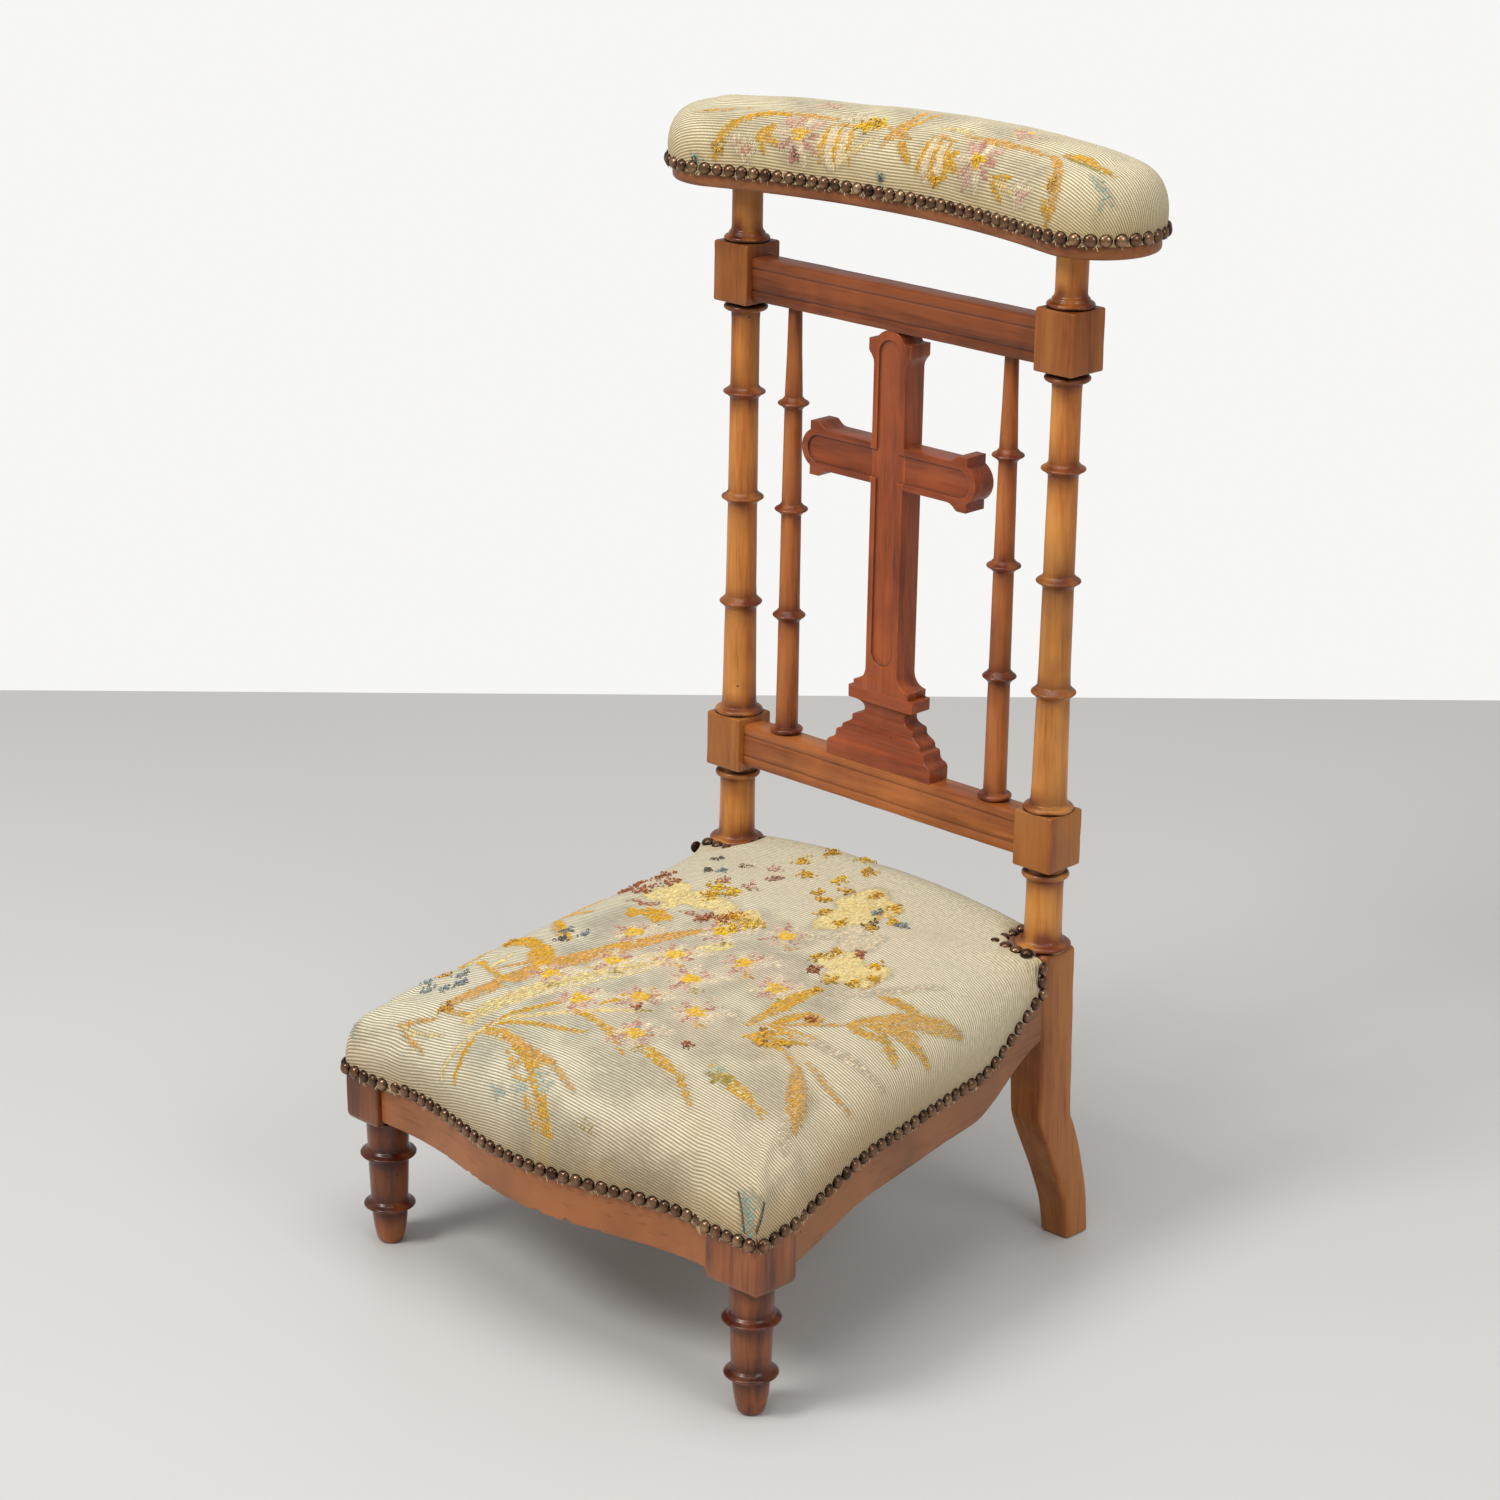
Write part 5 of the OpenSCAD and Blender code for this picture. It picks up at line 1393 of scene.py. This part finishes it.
def spiral(centre, count, pitch):
    """Points spread evenly round a centre, as a sunflower's seeds are."""
    return [(centre[0] + pitch * math.sqrt(k + 0.3) * math.cos(math.radians(GOLDEN * k)),
             centre[1] + pitch * math.sqrt(k + 0.3) * math.sin(math.radians(GOLDEN * k)))
            for k in range(count)]


def clumps(canvas, wools, centre, radius, count, spread=7, size=16):
    """Raised tufts round a centre."""
    for k in range(count):
        a = 2 * math.pi * (k + 0.2) / count
        u, v = centre[0] + radius * math.cos(a), centre[1] + 0.8 * radius * math.sin(a)
        canvas.tuft(wools[k % len(wools)], u, v, spread, size)


# ---------------------------------------------------------------- the seat's bouquet
# where the stems are tied, and the middle of the flowers, in cloth mm
TIE = (-85, -197)
POSY = (-8, -72)
sc = Canvas((-250, 250), (-262, 185))
for at in spiral(POSY, 10, 34):
    sc.blob("blush", at, 36, 26, keep=0, dye=0.55, ragged=5)
for at in spiral((30, -190), 9, 48):
    sc.blob("cream", at, 38, 25, keep=0, dye=0.4, ragged=4)
# two broad ribbons of stems that lead in from the left
leaf(sc, "straw", (-108, -196), 65, 205, 28, -8, keep=0.88)
leaf(sc, "cream", (-88, -178), 64, 140, 6, -5, keep=0.6)
leaf(sc, "ochre", (-138, -190), 72, 205, 20, -18)
leaf(sc, "tan", (-124, -178), 68, 140, 6, -10, keep=0.7)
for heading in (5, 75):
    leaf(sc, "wheat", (-140, -193), heading, 28, 5, keep=0.85)
# leaves that droop over the front edge from the tie
leaf(sc, "gold", (TIE[0], TIE[1] - 3), 10, 185, 11, -85)
leaf(sc, "ochre", (TIE[0], TIE[1] - 8), 8, 125, 6, -30)
leaf(sc, "gold", TIE, -92, 52, 5)
leaf(sc, "straw", TIE, -120, 55, 4.5, 10, keep=0.8)
stem = leaf(sc, "ochre", (-65, -204), -22, 120, 2.6, -25, keep=0.6)
for at in stem[2:6]:
    sc.blob("wheat", at, 5, 3.2, keep=0.8)
for k in range(3):
    sc.blob("sky", (-30 + 20 * k, -248 + 8 * k), 8, 5, keep=0.25, dye=0.45)
sc.blob("sky", (30, -146), 12, 7, keep=0.4)
# thin leaves above it
fan(sc, ("gold", "straw", "gold"), TIE, 25, 60, 3, 100, 5.5, -12)
leaf(sc, "gold", (-50, -152), 5, 95, 5, -35)
leaf(sc, "ochre", (0, -160), 5, 35, 5)
# leaves at the far left
leaf(sc, "gold", (-188, -82), 14, 60, 13, -45)
leaf(sc, "gold", (-142, -86), -40, 42, 20)
leaf(sc, "wheat", (-184, -88), 12, 40, 4, -20, keep=0.8)
fan(sc, ("gold", "ochre", "straw", "gold"), (-148, -134), -20, 150, 4, 36, 4.5, 12)
leaf(sc, "gold", (-176, -38), -32, 60, 6.5)
leaf(sc, "ochre", (-168, -46), -38, 34, 4, keep=0.85)
fan(sc, ("gold", "straw", "gold"), (-200, -120), -30, 70, 3, 30, 4)
fan(sc, ("gold", "gold"), (-178, -30), 20, 85, 2, 36, 5)
fan(sc, ("ochre", "straw", "ochre"), (-168, -216), -30, 20, 3, 42, 3.4, 14)
# gold bars and patches behind the ribbons
leaf(sc, "gold", (-94, -76), 50, 36, 6)
leaf(sc, "gold", (-22, -138), 66, 42, 8)
leaf(sc, "tan", (-8, -120), 52, 28, 9, keep=0.85)
leaf(sc, "straw", (-42, -66), 28, 32, 5, keep=0.6)
for k in range(3):
    sc.blob("gold", (-112 + 13 * k, -11 + 6 * (k % 2)), 10, 7)
sc.blob("straw", (-98, 27), 42, 17, keep=0.85, dye=0.9, ragged=4)
sc.blob("straw", (-36, 18), 25, 16, keep=0.6, dye=0.8, ragged=4)
for k in range(2):
    sc.blob("rust", (-120 + 62 * k, 5), 14, 4, keep=0.5)
# pale double-lined leaves towards the middle of the front edge
outlined(sc, (40, -161), -12, 58)
outlined(sc, (100, -148), -12, 72)
leaf(sc, "gold", (92, -172), -32, 30, 5)
sc.blob("olive", (116, -155), 11, 6)
# the daisies and what fills the gaps between them
for k, (u, v) in enumerate(spiral(POSY, 13, 28)):
    sc.daisy(u, v)
    sc.blob("cream", (u + 17, v + 12), 9, 6, keep=0.4, ragged=2)
    sc.blob(("olive", "ochre")[k % 2], (u + 16, v - 13), 5, 3, keep=0.6, ragged=1.3)
# pale patches behind, each with a darker rim on one side
for centre, rx, ry in (((92, 12), 29, 20), ((36, 84), 22, 38)):
    sc.blob("straw", centre, rx, ry, keep=0.8, dye=0.95, ragged=3)
    leaf(sc, "ochre", (centre[0] + rx - 6, centre[1] - ry + 6), 60, 1.3 * ry, 3.5, 60, keep=0.8)
sc.blob("cream", (66, 46), 20, 17, keep=0.5, dye=0.8, ragged=3)
# sprays on the right
spray(sc, ("ochre", "gold", "wheat"), (88, -90), 38, 85, 2, 36, 8)
leaf(sc, "wheat", (150, -22), 48, 66, 17, 8)
leaf(sc, "tan", (158, -18), 50, 48, 6, 6, keep=0.9)
leaf(sc, "wheat", (160, -25), 12, 42, 10, 8)
leaf(sc, "gold", (158, -30), -22, 36, 8)
leaf(sc, "gold", (131, 1), 12, 38, 9)
leaf(sc, "ochre", (86, -94), 90, 28, 7)
leaf(sc, "gold", (87, -82), 90, 58, 13, -8)
for at, heading, length in (((112, -80), 8, 92), ((106, -28), 56, 88)):
    leaf(sc, "cream", at, heading, length, 8, keep=0.45)
leaf(sc, "ochre", (128, -99), -24, 26, 4, keep=0.85)
leaf(sc, "tan", (150, -108), -45, 66, 17, -6)
leaf(sc, "wheat", (158, -118), -46, 52, 6, keep=0.8)
leaf(sc, "cream", (178, -150), -45, 38, 9, keep=0.3)
leaf(sc, "ochre", (150, -97), -20, 58, 4, 18, keep=0.85)
fan(sc, ("gold", "gold", "wheat"), (94, -106), 12, 50, 3, 42, 6)
sc.blob("wheat", (116, -57), 9, 6)
for k in range(5):
    sc.blob("teal", (-216 + 108 * k, -224 + 76 * (k % 2)), 7, 5, keep=0.12, dye=0.55)
# mended corner at the front right: a blue patch between two gathered seams
leaf(sc, "teal", (206, -224), -40, 34, 12, keep=0.3)
sc.blob("olive", (60, -243), 6, 4, keep=0.25, dye=0.5)
for side in (-1, 1):
    sc.seam((212 + 12 * side, -222 + 4 * side), (222 + 8 * side, -233 + 4 * side),
            (231 + 4 * side, -243 + 3 * side))
# raised tufts
clumps(sc, ("yellow", "yellow", "gold"), (-77, 47), 12, 3, 8, 20)
clumps(sc, ("yellow", "gold", "yellow"), (-24, 13), 11, 3, 9, 21)
clumps(sc, ("gold", "yellow"), (-30, 128), 32, 6, 7, 15)
clumps(sc, ("rust",), (-150, 40), 20, 5, 8, 16)
clumps(sc, ("rust",), (-46, 9), 8, 2, 7, 13)
clumps(sc, ("wheat", "gold", "rust"), (88, 11), 26, 8, 6, 12)
clumps(sc, ("gold", "wheat"), (36, 82), 32, 8, 6, 12)
clumps(sc, ("gold", "wheat", "gold"), (112, -97), 12, 3, 6, 11)
clumps(sc, ("blue", "blue", "ochre", "blue"), (-170, -160), 17, 6, 6, 11)
clumps(sc, ("blue", "blue", "dark"), (-131, -62), 11, 3, 5, 9)
clumps(sc, ("rose", "pink", "cream", "blue"), (-80, 82), 26, 6, 6, 9)
clumps(sc, ("blue", "blue", "dark"), (62, 82), 15, 3, 6, 9)
clumps(sc, ("dark",), (-115, 90), 18, 3, 4, 5)
for at in ((73, -143), (6, -125), (116, -57)):
    sc.tuft("rust", *at, 5, 8)
for at in ((-138, -190), (-180, -81), (92, -26), (-8, 84)):
    sc.tuft("wheat", *at, 5, 10)
work("seat_embroidery", seat, sc, "seat_tapestry")

# ---------------------------------------------------------------- the armrest's garland
ac = Canvas((-275, 275), (-95, 70))
for k in range(7):
    ac.blob(("pink", "canvas")[k % 2], (-150 + 50 * k, -50 + 32 * (k % 2)), 26, 16, keep=0, dye=0.35,
            ragged=4)
for u in (-94, 89):
    # one repeat: gold leaves, a daisy, a pale bell with gold ribs, and more leaves
    fan(ac, ("gold", "gold", "gold"), (u - 36, -52), -70, 20, 3, 18, 7)
    ac.daisy(u, -50, 22, 7, keep=0.9)
    leaf(ac, "ochre", (u - 26, -30), -2, 52, 5, keep=0.85)
for u in (-58, 42):
    ac.blob("cream", (u, -55), 16, 17, keep=0.75, dye=0.9)
    for k in (-1, 0, 1):
        leaf(ac, "gold", (u + 11 * k, -40), -90 + 7 * k, 29, 5)
    leaf(ac, "ochre", (u - 14, -38), 12, 28, 3, -20, keep=0.85)
    leaf(ac, "straw", (u - 12, -28), 14, 34, 6, -12, keep=0.75)
ac.blob("yellow", (-35, -33), 13, 7)
ac.blob("gold", (50, -70), 8, 4)
# the curled leaves at both ends
leaf(ac, "gold", (-170, -74), 82, 80, 8, -80)
leaf(ac, "ochre", (-196, -35), 5, 46, 5, 14, keep=0.6)
leaf(ac, "ochre", (60, -30), 4, 104, 6, -6, keep=0.85)
leaf(ac, "ochre", (160, -27), -15, 66, 10, -80, keep=0.92)
leaf(ac, "gold", (178, -64), -45, 14, 6)
leaf(ac, "wheat", (166, -20), 18, 50, 8, -24)
leaf(ac, "olive", (170, -23), 14, 42, 4, -20, keep=0.85)
# the crossed leaves in the middle
leaf(ac, "ochre", (-4, -5), -88, 48, 8, -24)
leaf(ac, "wheat", (9, -6), -105, 42, 5, -10, keep=0.9)
leaf(ac, "tan", (-16, -34), -18, 28, 8)
leaf(ac, "wheat", (2, -46), -42, 22, 8)
leaf(ac, "straw", (-20, -44), -145, 38, 6, keep=0.6)
for k, u in enumerate((-142, 150)):
    ac.blob("cream", (u, -65), 11, 10, keep=0.55)
    ac.blob(("rose", "pink")[k], (u, -67), 6, 5, keep=0.6)
fan(ac, ("gold", "straw", "gold"), (110, -60), -40, 10, 3, 26, 5)
ac.blob("yellow", (100, -9), 6, 4)
for u in (-92, 108):
    ac.blob("pink", (u, -12), 13, 6, keep=0.4)
ac.blob("cream", (-54, -26), 16, 7, keep=0.5)
leaf(ac, "teal", (206, -28), -8, 26, 6, keep=0.3)
leaf(ac, "teal", (222, -30), -70, 26, 3, keep=0.25)
for u in (-187, -10):
    ac.blob("teal", (u, -75), 4, 4, keep=0.5)
    ac.tuft("dark", u, -75, 3, 3)
clumps(ac, ("yellow",), (-35, -33), 6, 2, 6, 14)
for kind, u, v in (("gold", 48, -70), ("gold", -166, -66), ("yellow", 88, -49), ("gold", 180, -50),
                   ("rose", -96, -66)):
    ac.tuft(kind, u, v, 5, 9)
work("armrest_embroidery", arm_pad, ac, "armrest_tapestry")


def fray(name, pad, count, slot, random, highest=math.inf):
    """Loose canvas threads along a pad's nailed edge, as far up as highest, in mm."""
    wool = Wool()
    co = coordinates(pad.data) / MM
    weave = np.zeros(len(co) * 3)
    pad.data.attributes["weave"].data.foreach_get("vector", weave)
    edge = np.flatnonzero(weave.reshape(-1, 3)[:, 2] < 0.01)
    normals = np.array([pad.data.vertices[int(i)].normal for i in edge])
    for _ in range(count):
        k = random.integers(len(edge))
        at, n = co[edge[k]], normals[k]
        if at[2] > highest:
            continue
        side = np.array((-n[1], n[0], 0.0))
        side /= np.linalg.norm(side) + 1e-9
        lean, drop = random.normal(0, 1.6), random.uniform(1.0, 3.4)
        low = np.array((0, 0, -1.0))
        at = at + side * random.uniform(-2, 2)
        wool.strand([at - low * 2.2 + n * 0.3, at + n * 0.9 + side * lean * 0.3,
                     at + low * drop + n * random.uniform(0.2, 1.0) + side * lean],
                    random.uniform(0.18, 0.32), shade("canvas", random, 0.1), 4)
    piece(wool.object(name, WORSTED), slot)


fray("seat_cloth_edge_threads", seat, 900, "seat_tapestry", np.random.default_rng(5), 240)
fray("armrest_cloth_edge_threads", arm_pad, 500, "armrest_tapestry", np.random.default_rng(6))

# ---------------------------------------------------------------- nails
def old_brass():
    """Bronzed heads: brown in the hollows, rubbed bright on the crowns."""
    g = Graph("old_brass")
    where = g.node("TexCoord").outputs["Object"]
    tone = g.noise(where, 160.0, 3.0, 0.6)
    each = g.node("Attribute", attribute_name="each").outputs["Fac"]
    mixed = g.math("ADD", g.math("MULTIPLY", tone, 0.6), g.math("MULTIPLY", each, 0.4))
    dark, mid, bright = linear((74, 50, 36)), linear((128, 96, 70)), linear((182, 148, 112))
    colour = g.ramp(mixed, [(0.25, dark), (0.55, mid), (0.8, bright)])
    crown = g.node("Attribute", attribute_name="crown").outputs["Fac"]
    colour = g.mix(g.ramp(crown, [(0.3, 0.85), (0.9, 0.0)]), colour, linear((44, 28, 20)))
    rough = g.math("ADD", 0.12, g.math("MULTIPLY", g.noise(where, 420.0, 3.0), 0.26))
    return g.finish(colour, rough, g.noise(where, 500.0, 3.0), 0.35, 0.0003, Metallic=0.82)


BRASS = old_brass()


def islands(mesh):
    """Vertex groups of a mesh's separate solids."""
    parent = list(range(len(mesh.vertices)))

    def root(i):
        while parent[i] != i:
            parent[i] = parent[parent[i]]
            i = parent[i]
        return i

    seen = {}
    for i, v in enumerate(mesh.vertices):
        key = tuple(round(c * 1e6) for c in v.co)
        j = seen.setdefault(key, i)
        parent[root(i)] = root(j)
    for e in mesh.edges:
        parent[root(e.vertices[0])] = root(e.vertices[1])
    groups = {}
    for i in range(len(mesh.vertices)):
        groups.setdefault(root(i), []).append(i)
    return list(groups.values()), root


def nail_seats(node):
    """Base centre and outward direction of every nail in a CAD node, in metres."""
    mesh = nodes[node].data
    groups, root = islands(mesh)
    flat = {}
    for p in mesh.polygons:
        flat.setdefault(root(p.vertices[0]), []).append(p)
    seats = []
    for group in groups:
        polys = flat[root(group[0])]
        area = np.array([p.area for p in polys])
        normal = np.array([p.normal for p in polys])
        alike = normal @ normal.T > 0.9995
        k = int(np.argmax(alike @ area))
        base = alike[k]
        centre = sum((polys[i].center * area[i] for i in np.flatnonzero(base)), Vector()) / area[base].sum()
        seats.append((centre, -Vector(normal[k])))
    return seats


NAIL_DOME = [(1.0, -0.25), (1.03, 0.0), (1.0, 0.16), (0.94, 0.36), (0.82, 0.60), (0.64, 0.80), (0.40, 0.93),
             (0.18, 0.985)]


def nails(name, cad, dark=0.0):
    verts, faces, crown, each = [], [], [], []
    sides = 16
    prof = NAIL_DOME
    for k, (at, axis) in enumerate(nail_seats(cad)):
        tilt = Vector((rng.gauss(0, 0.07), rng.gauss(0, 0.07), rng.gauss(0, 0.07)))
        axis = (axis + tilt).normalized()
        turn = axis.to_track_quat("Z", "Y").to_matrix()
        size, high = 5.0 * (1 + rng.gauss(0, 0.025)), 3.7 * (1 + rng.gauss(0, 0.06))
        shade = min(1, max(0, rng.gauss(0.5 - dark, 0.22)))
        base = len(verts)
        for r, h in prof:
            for s_ in range(sides):
                a = 2 * math.pi * s_ / sides
                wob = 1 + 0.03 * noise.noise((k * 3.1, math.cos(a), math.sin(a)))
                p = Vector((r * size * wob * math.cos(a), r * size * wob * math.sin(a), h * high)) * MM
                verts.append(at + axis * 0.7 * MM + turn @ p)
                crown.append(max(0, h))
                each.append(shade)
        verts.append(at + axis * 0.7 * MM + turn @ Vector((0, 0, high * MM)))
        crown.append(1)
        each.append(shade)
        for r in range(len(prof) - 1):
            for s_ in range(sides):
                t = (s_ + 1) % sides
                faces.append([base + r * sides + s_, base + r * sides + t, base + (r + 1) * sides + t,
                              base + (r + 1) * sides + s_])
        tip = len(verts) - 1
        top = base + (len(prof) - 1) * sides
        faces += [[top + s_, top + (s_ + 1) % sides, tip] for s_ in range(sides)]
        faces.append([base + s_ for s_ in range(sides - 1, -1, -1)])
    mesh = bpy.data.meshes.new(name)
    mesh.from_pydata([tuple(v) for v in verts], [], faces)
    for key, values in (("crown", crown), ("each", each)):
        mesh.attributes.new(key, "FLOAT", "POINT").data.foreach_set("value", values)
    mesh.shade_smooth()
    mesh.materials.append(BRASS)
    ob = bpy.data.objects.new(name, mesh)
    scene.collection.objects.link(ob)
    return piece(ob, "brass_nails", cad)


for row in ("front", "left", "right", "back"):
    nails(f"nail_row_{row}", f"seat_nails_{row}")
for row in ("left", "right"):
    nails(f"nail_ring_post_{row}", f"seat_nails_post_{row}", 0.15)
nails("nail_row_armrest", "armrest_nails")


# ---------------------------------------------------------------- gathered trim round the posts
def trim_leather():
    g = Graph("brown_trim")
    where = g.node("TexCoord").outputs["Object"]
    grain = g.noise(where, 420.0, 4.0, 0.6)
    colour = g.ramp(g.noise(where, 60.0, 3.0), [(0.3, linear((66, 44, 32))), (0.7, linear((128, 96, 72)))])
    dust = g.ramp(grain, [(0.5, 0.0), (0.75, 0.4)])
    colour = g.mix(dust, colour, linear((158, 134, 104)))
    return g.finish(colour, 0.6, grain, 0.5, 0.0004, Specular_IOR_Level=0.3)


def gathered_ring(scallops=11, radius=22.8, height=246.8, thick=3.1, first=150, last=298):
    """Scalloped roll that sits where the cloth meets the post, on the seat's side of it."""
    ring_shape = shape()
    loops = []
    for k in range(scallops * 8 + 1):
        a = math.radians(first + (last - first) * k / (scallops * 8))
        puffed = abs(math.sin(math.pi * k / 8)) ** 0.6
        loop = []
        for b in [2 * math.pi * s / 10 for s in range(10)]:
            reach = radius + 1.3 * puffed + thick * (0.55 + 0.45 * puffed) * math.cos(b)
            rise = 0.6 * puffed + 0.75 * thick * (0.5 + 0.5 * puffed) * math.sin(b)
            loop.append((AXIS[0] + reach * math.cos(a), AXIS[1] + reach * math.sin(a), height + rise))
        loops.append(loop)
    v, f = loft(loops)
    add(ring_shape, v, f)
    return ring_shape


TRIM = trim_leather()
for label, flipped in (("right", False), ("left", True)):
    ring_ob = to_object(gathered_ring(), f"post_trim_{label}", TRIM, 80, flipped)
    outward(ring_ob.data, 0.00001)
    piece(ring_ob, "seat_tapestry")

# ---------------------------------------------------------------- covers ride and replace
thicken(seat, 1.8)
thicken(arm_pad, 1.8)
piece(seat, "seat_tapestry", "seat_cover", "seat_stuffing")
piece(arm_pad, "armrest_tapestry", "armrest_cover", "armrest_stuffing")


# ---------------------------------------------------------------- under the seat
def jute(name, light, dark, pitch, depth=0.6):
    """Plain woven jute whose threads are pitch mm apart."""
    g = Graph(name)
    where = g.node("TexCoord").outputs["Object"]
    x, y, _ = g.node("SeparateXYZ", {"Vector": where}).outputs
    warp = g.math("SINE", g.math("MULTIPLY", x, 2 * math.pi / (pitch * MM)))
    weft = g.math("SINE", g.math("MULTIPLY", y, 2 * math.pi / (pitch * MM)))
    cross = g.math("MULTIPLY_ADD", g.math("MULTIPLY", warp, weft), 0.5, 0.5)
    fibre = g.noise(g.scaled(where, (600, 600, 100)), 1.0, 3.0, 0.7)
    tone = g.math("ADD", g.math("MULTIPLY", cross, 0.5), g.math("MULTIPLY", fibre, 0.5))
    colour = g.ramp(tone, [(0.3, linear(dark)), (0.7, linear(light))])
    colour = g.mix(g.ramp(g.noise(where, 14.0, 3.0), [(0.4, 0.4), (0.7, 0.0)]), colour, linear((92, 72, 48)))
    return g.finish(colour, 0.92, tone, depth, 0.0008)


def recolour(names, material):
    """Gives CAD nodes a new material and leaves their meshes alone."""
    for n in names:
        mesh = nodes[n].data
        mesh.materials.clear()
        mesh.materials.append(material)


recolour(["seat_webbing_lengthwise", "seat_webbing_crosswise"],
         jute("jute_webbing", (176, 148, 104), (112, 88, 56), 2.4))
recolour(["seat_hessian"], jute("hessian", (158, 130, 88), (84, 64, 40), 3.2, 0.9))
recolour(["corner_block_front_left", "corner_block_front_right", "corner_block_rear_left",
          "corner_block_rear_right"], BEECH)
iron = Graph("blued_iron")
spot = iron.noise(iron.node("TexCoord").outputs["Object"], 300.0, 3.0)
rust = iron.ramp(spot, [(0.3, linear((38, 34, 32))), (0.8, linear((88, 66, 52)))])
recolour(["webbing_tacks"], iron.finish(rust, 0.55, spot, 0.3, 0.0003, Metallic=0.7))

# ---------------------------------------------------------------- floor, backdrop, light, camera
def plain(name, rgb, rough):
    """Near-even matt colour for the floor."""
    g = Graph(name)
    where = g.node("TexCoord").outputs["Object"]
    tone = g.noise(where, 1.3, 4.0, 0.55)
    a, b = linear(rgb), linear([c * 0.975 for c in rgb])
    return g.finish(g.mix(tone, a, b), rough, g.noise(where, 220.0, 2.0), 0.04, 0.0005)


def sheet_mesh(name, corners, material):
    mesh = bpy.data.meshes.new(name)
    mesh.from_pydata(corners, [], [[0, 1, 2, 3]])
    mesh.materials.append(material)
    ob = bpy.data.objects.new(name, mesh)
    scene.collection.objects.link(ob)
    return ob


# the camera that the photograph's perspective gives: place in metres, turn, and below its pitch and roll
AZIMUTH = math.radians(43.4732)
view_dir = Vector((-math.sin(AZIMUTH), math.cos(AZIMUTH), 0))
across_dir = Vector((view_dir.y, -view_dir.x, 0))
CAMERA_AT = Vector((1.8734, -1.9780, 1.3690))
far_edge = Vector((CAMERA_AT.x, CAMERA_AT.y, 0)) + view_dir * 4.03
floor_mat = plain("pale_floor", (205, 204, 202), 0.5)
far_left, far_right = far_edge - across_dir * 9, far_edge + across_dir * 9
sheet_mesh("floor", [far_left, far_left - view_dir * 14, far_right - view_dir * 14, far_right], floor_mat)


def area_light(name, at, target, size, power, colour=(1, 1, 1)):
    data = bpy.data.lights.new(name, "AREA")
    data.shape, data.size, data.energy, data.color = "DISK", size, power, colour
    ob = bpy.data.objects.new(name, data)
    ob.location = at
    ob.rotation_euler = (Vector(target) - Vector(at)).to_track_quat("-Z", "Y").to_euler()
    scene.collection.objects.link(ob)


area_light("key", (-0.7, -2.5, 3.0), (0, 0, 0.35), 1.3, 76, (1.0, 0.99, 0.97))
area_light("top", (0.3, -0.4, 3.3), (0, 0, 0.3), 2.2, 40, (1.0, 1.0, 1.0))
area_light("fill", (2.8, -0.3, 2.2), (0, 0, 0.3), 1.5, 24, (0.98, 0.99, 1.0))
world = bpy.data.worlds.new("studio")
scene.world = world
world.use_nodes = True
tree = world.node_tree
ambient = tree.nodes["Background"]
ambient.inputs[0].default_value = (1.0, 0.995, 0.985, 1)
ambient.inputs[1].default_value = 0.44
backdrop = tree.nodes.new("ShaderNodeBackground")
backdrop.inputs[0].default_value = (0.93, 0.925, 0.91, 1)
backdrop.inputs[1].default_value = 1.0
seen = tree.nodes.new("ShaderNodeLightPath")
either = tree.nodes.new("ShaderNodeMixShader")
tree.links.new(seen.outputs["Is Camera Ray"], either.inputs[0])
tree.links.new(ambient.outputs[0], either.inputs[1])
tree.links.new(backdrop.outputs[0], either.inputs[2])
tree.links.new(either.outputs[0], tree.nodes["World Output"].inputs[0])

scene.view_settings.view_transform = "Standard"
scene.view_settings.look = "None"

pitch, roll = math.radians(19.5706), math.radians(0.3947)
up_flat = Vector((0, 0, 1))
look = view_dir * math.cos(pitch) - up_flat * math.sin(pitch)
up0 = view_dir * math.sin(pitch) + up_flat * math.cos(pitch)
right = across_dir * math.cos(roll) + up0 * math.sin(roll)
up = -across_dir * math.sin(roll) + up0 * math.cos(roll)
cam_data = bpy.data.cameras.new("camera")
cam_data.sensor_width, cam_data.lens = 36.0, 93.115
cam = bpy.data.objects.new("camera", cam_data)
scene.collection.objects.link(cam)
cam.matrix_world = Matrix((
    (right.x, up.x, -look.x, CAMERA_AT.x), (right.y, up.y, -look.y, CAMERA_AT.y),
    (right.z, up.z, -look.z, CAMERA_AT.z), (0, 0, 0, 1)))
scene.camera = cam

bpy.context.view_layer.update()
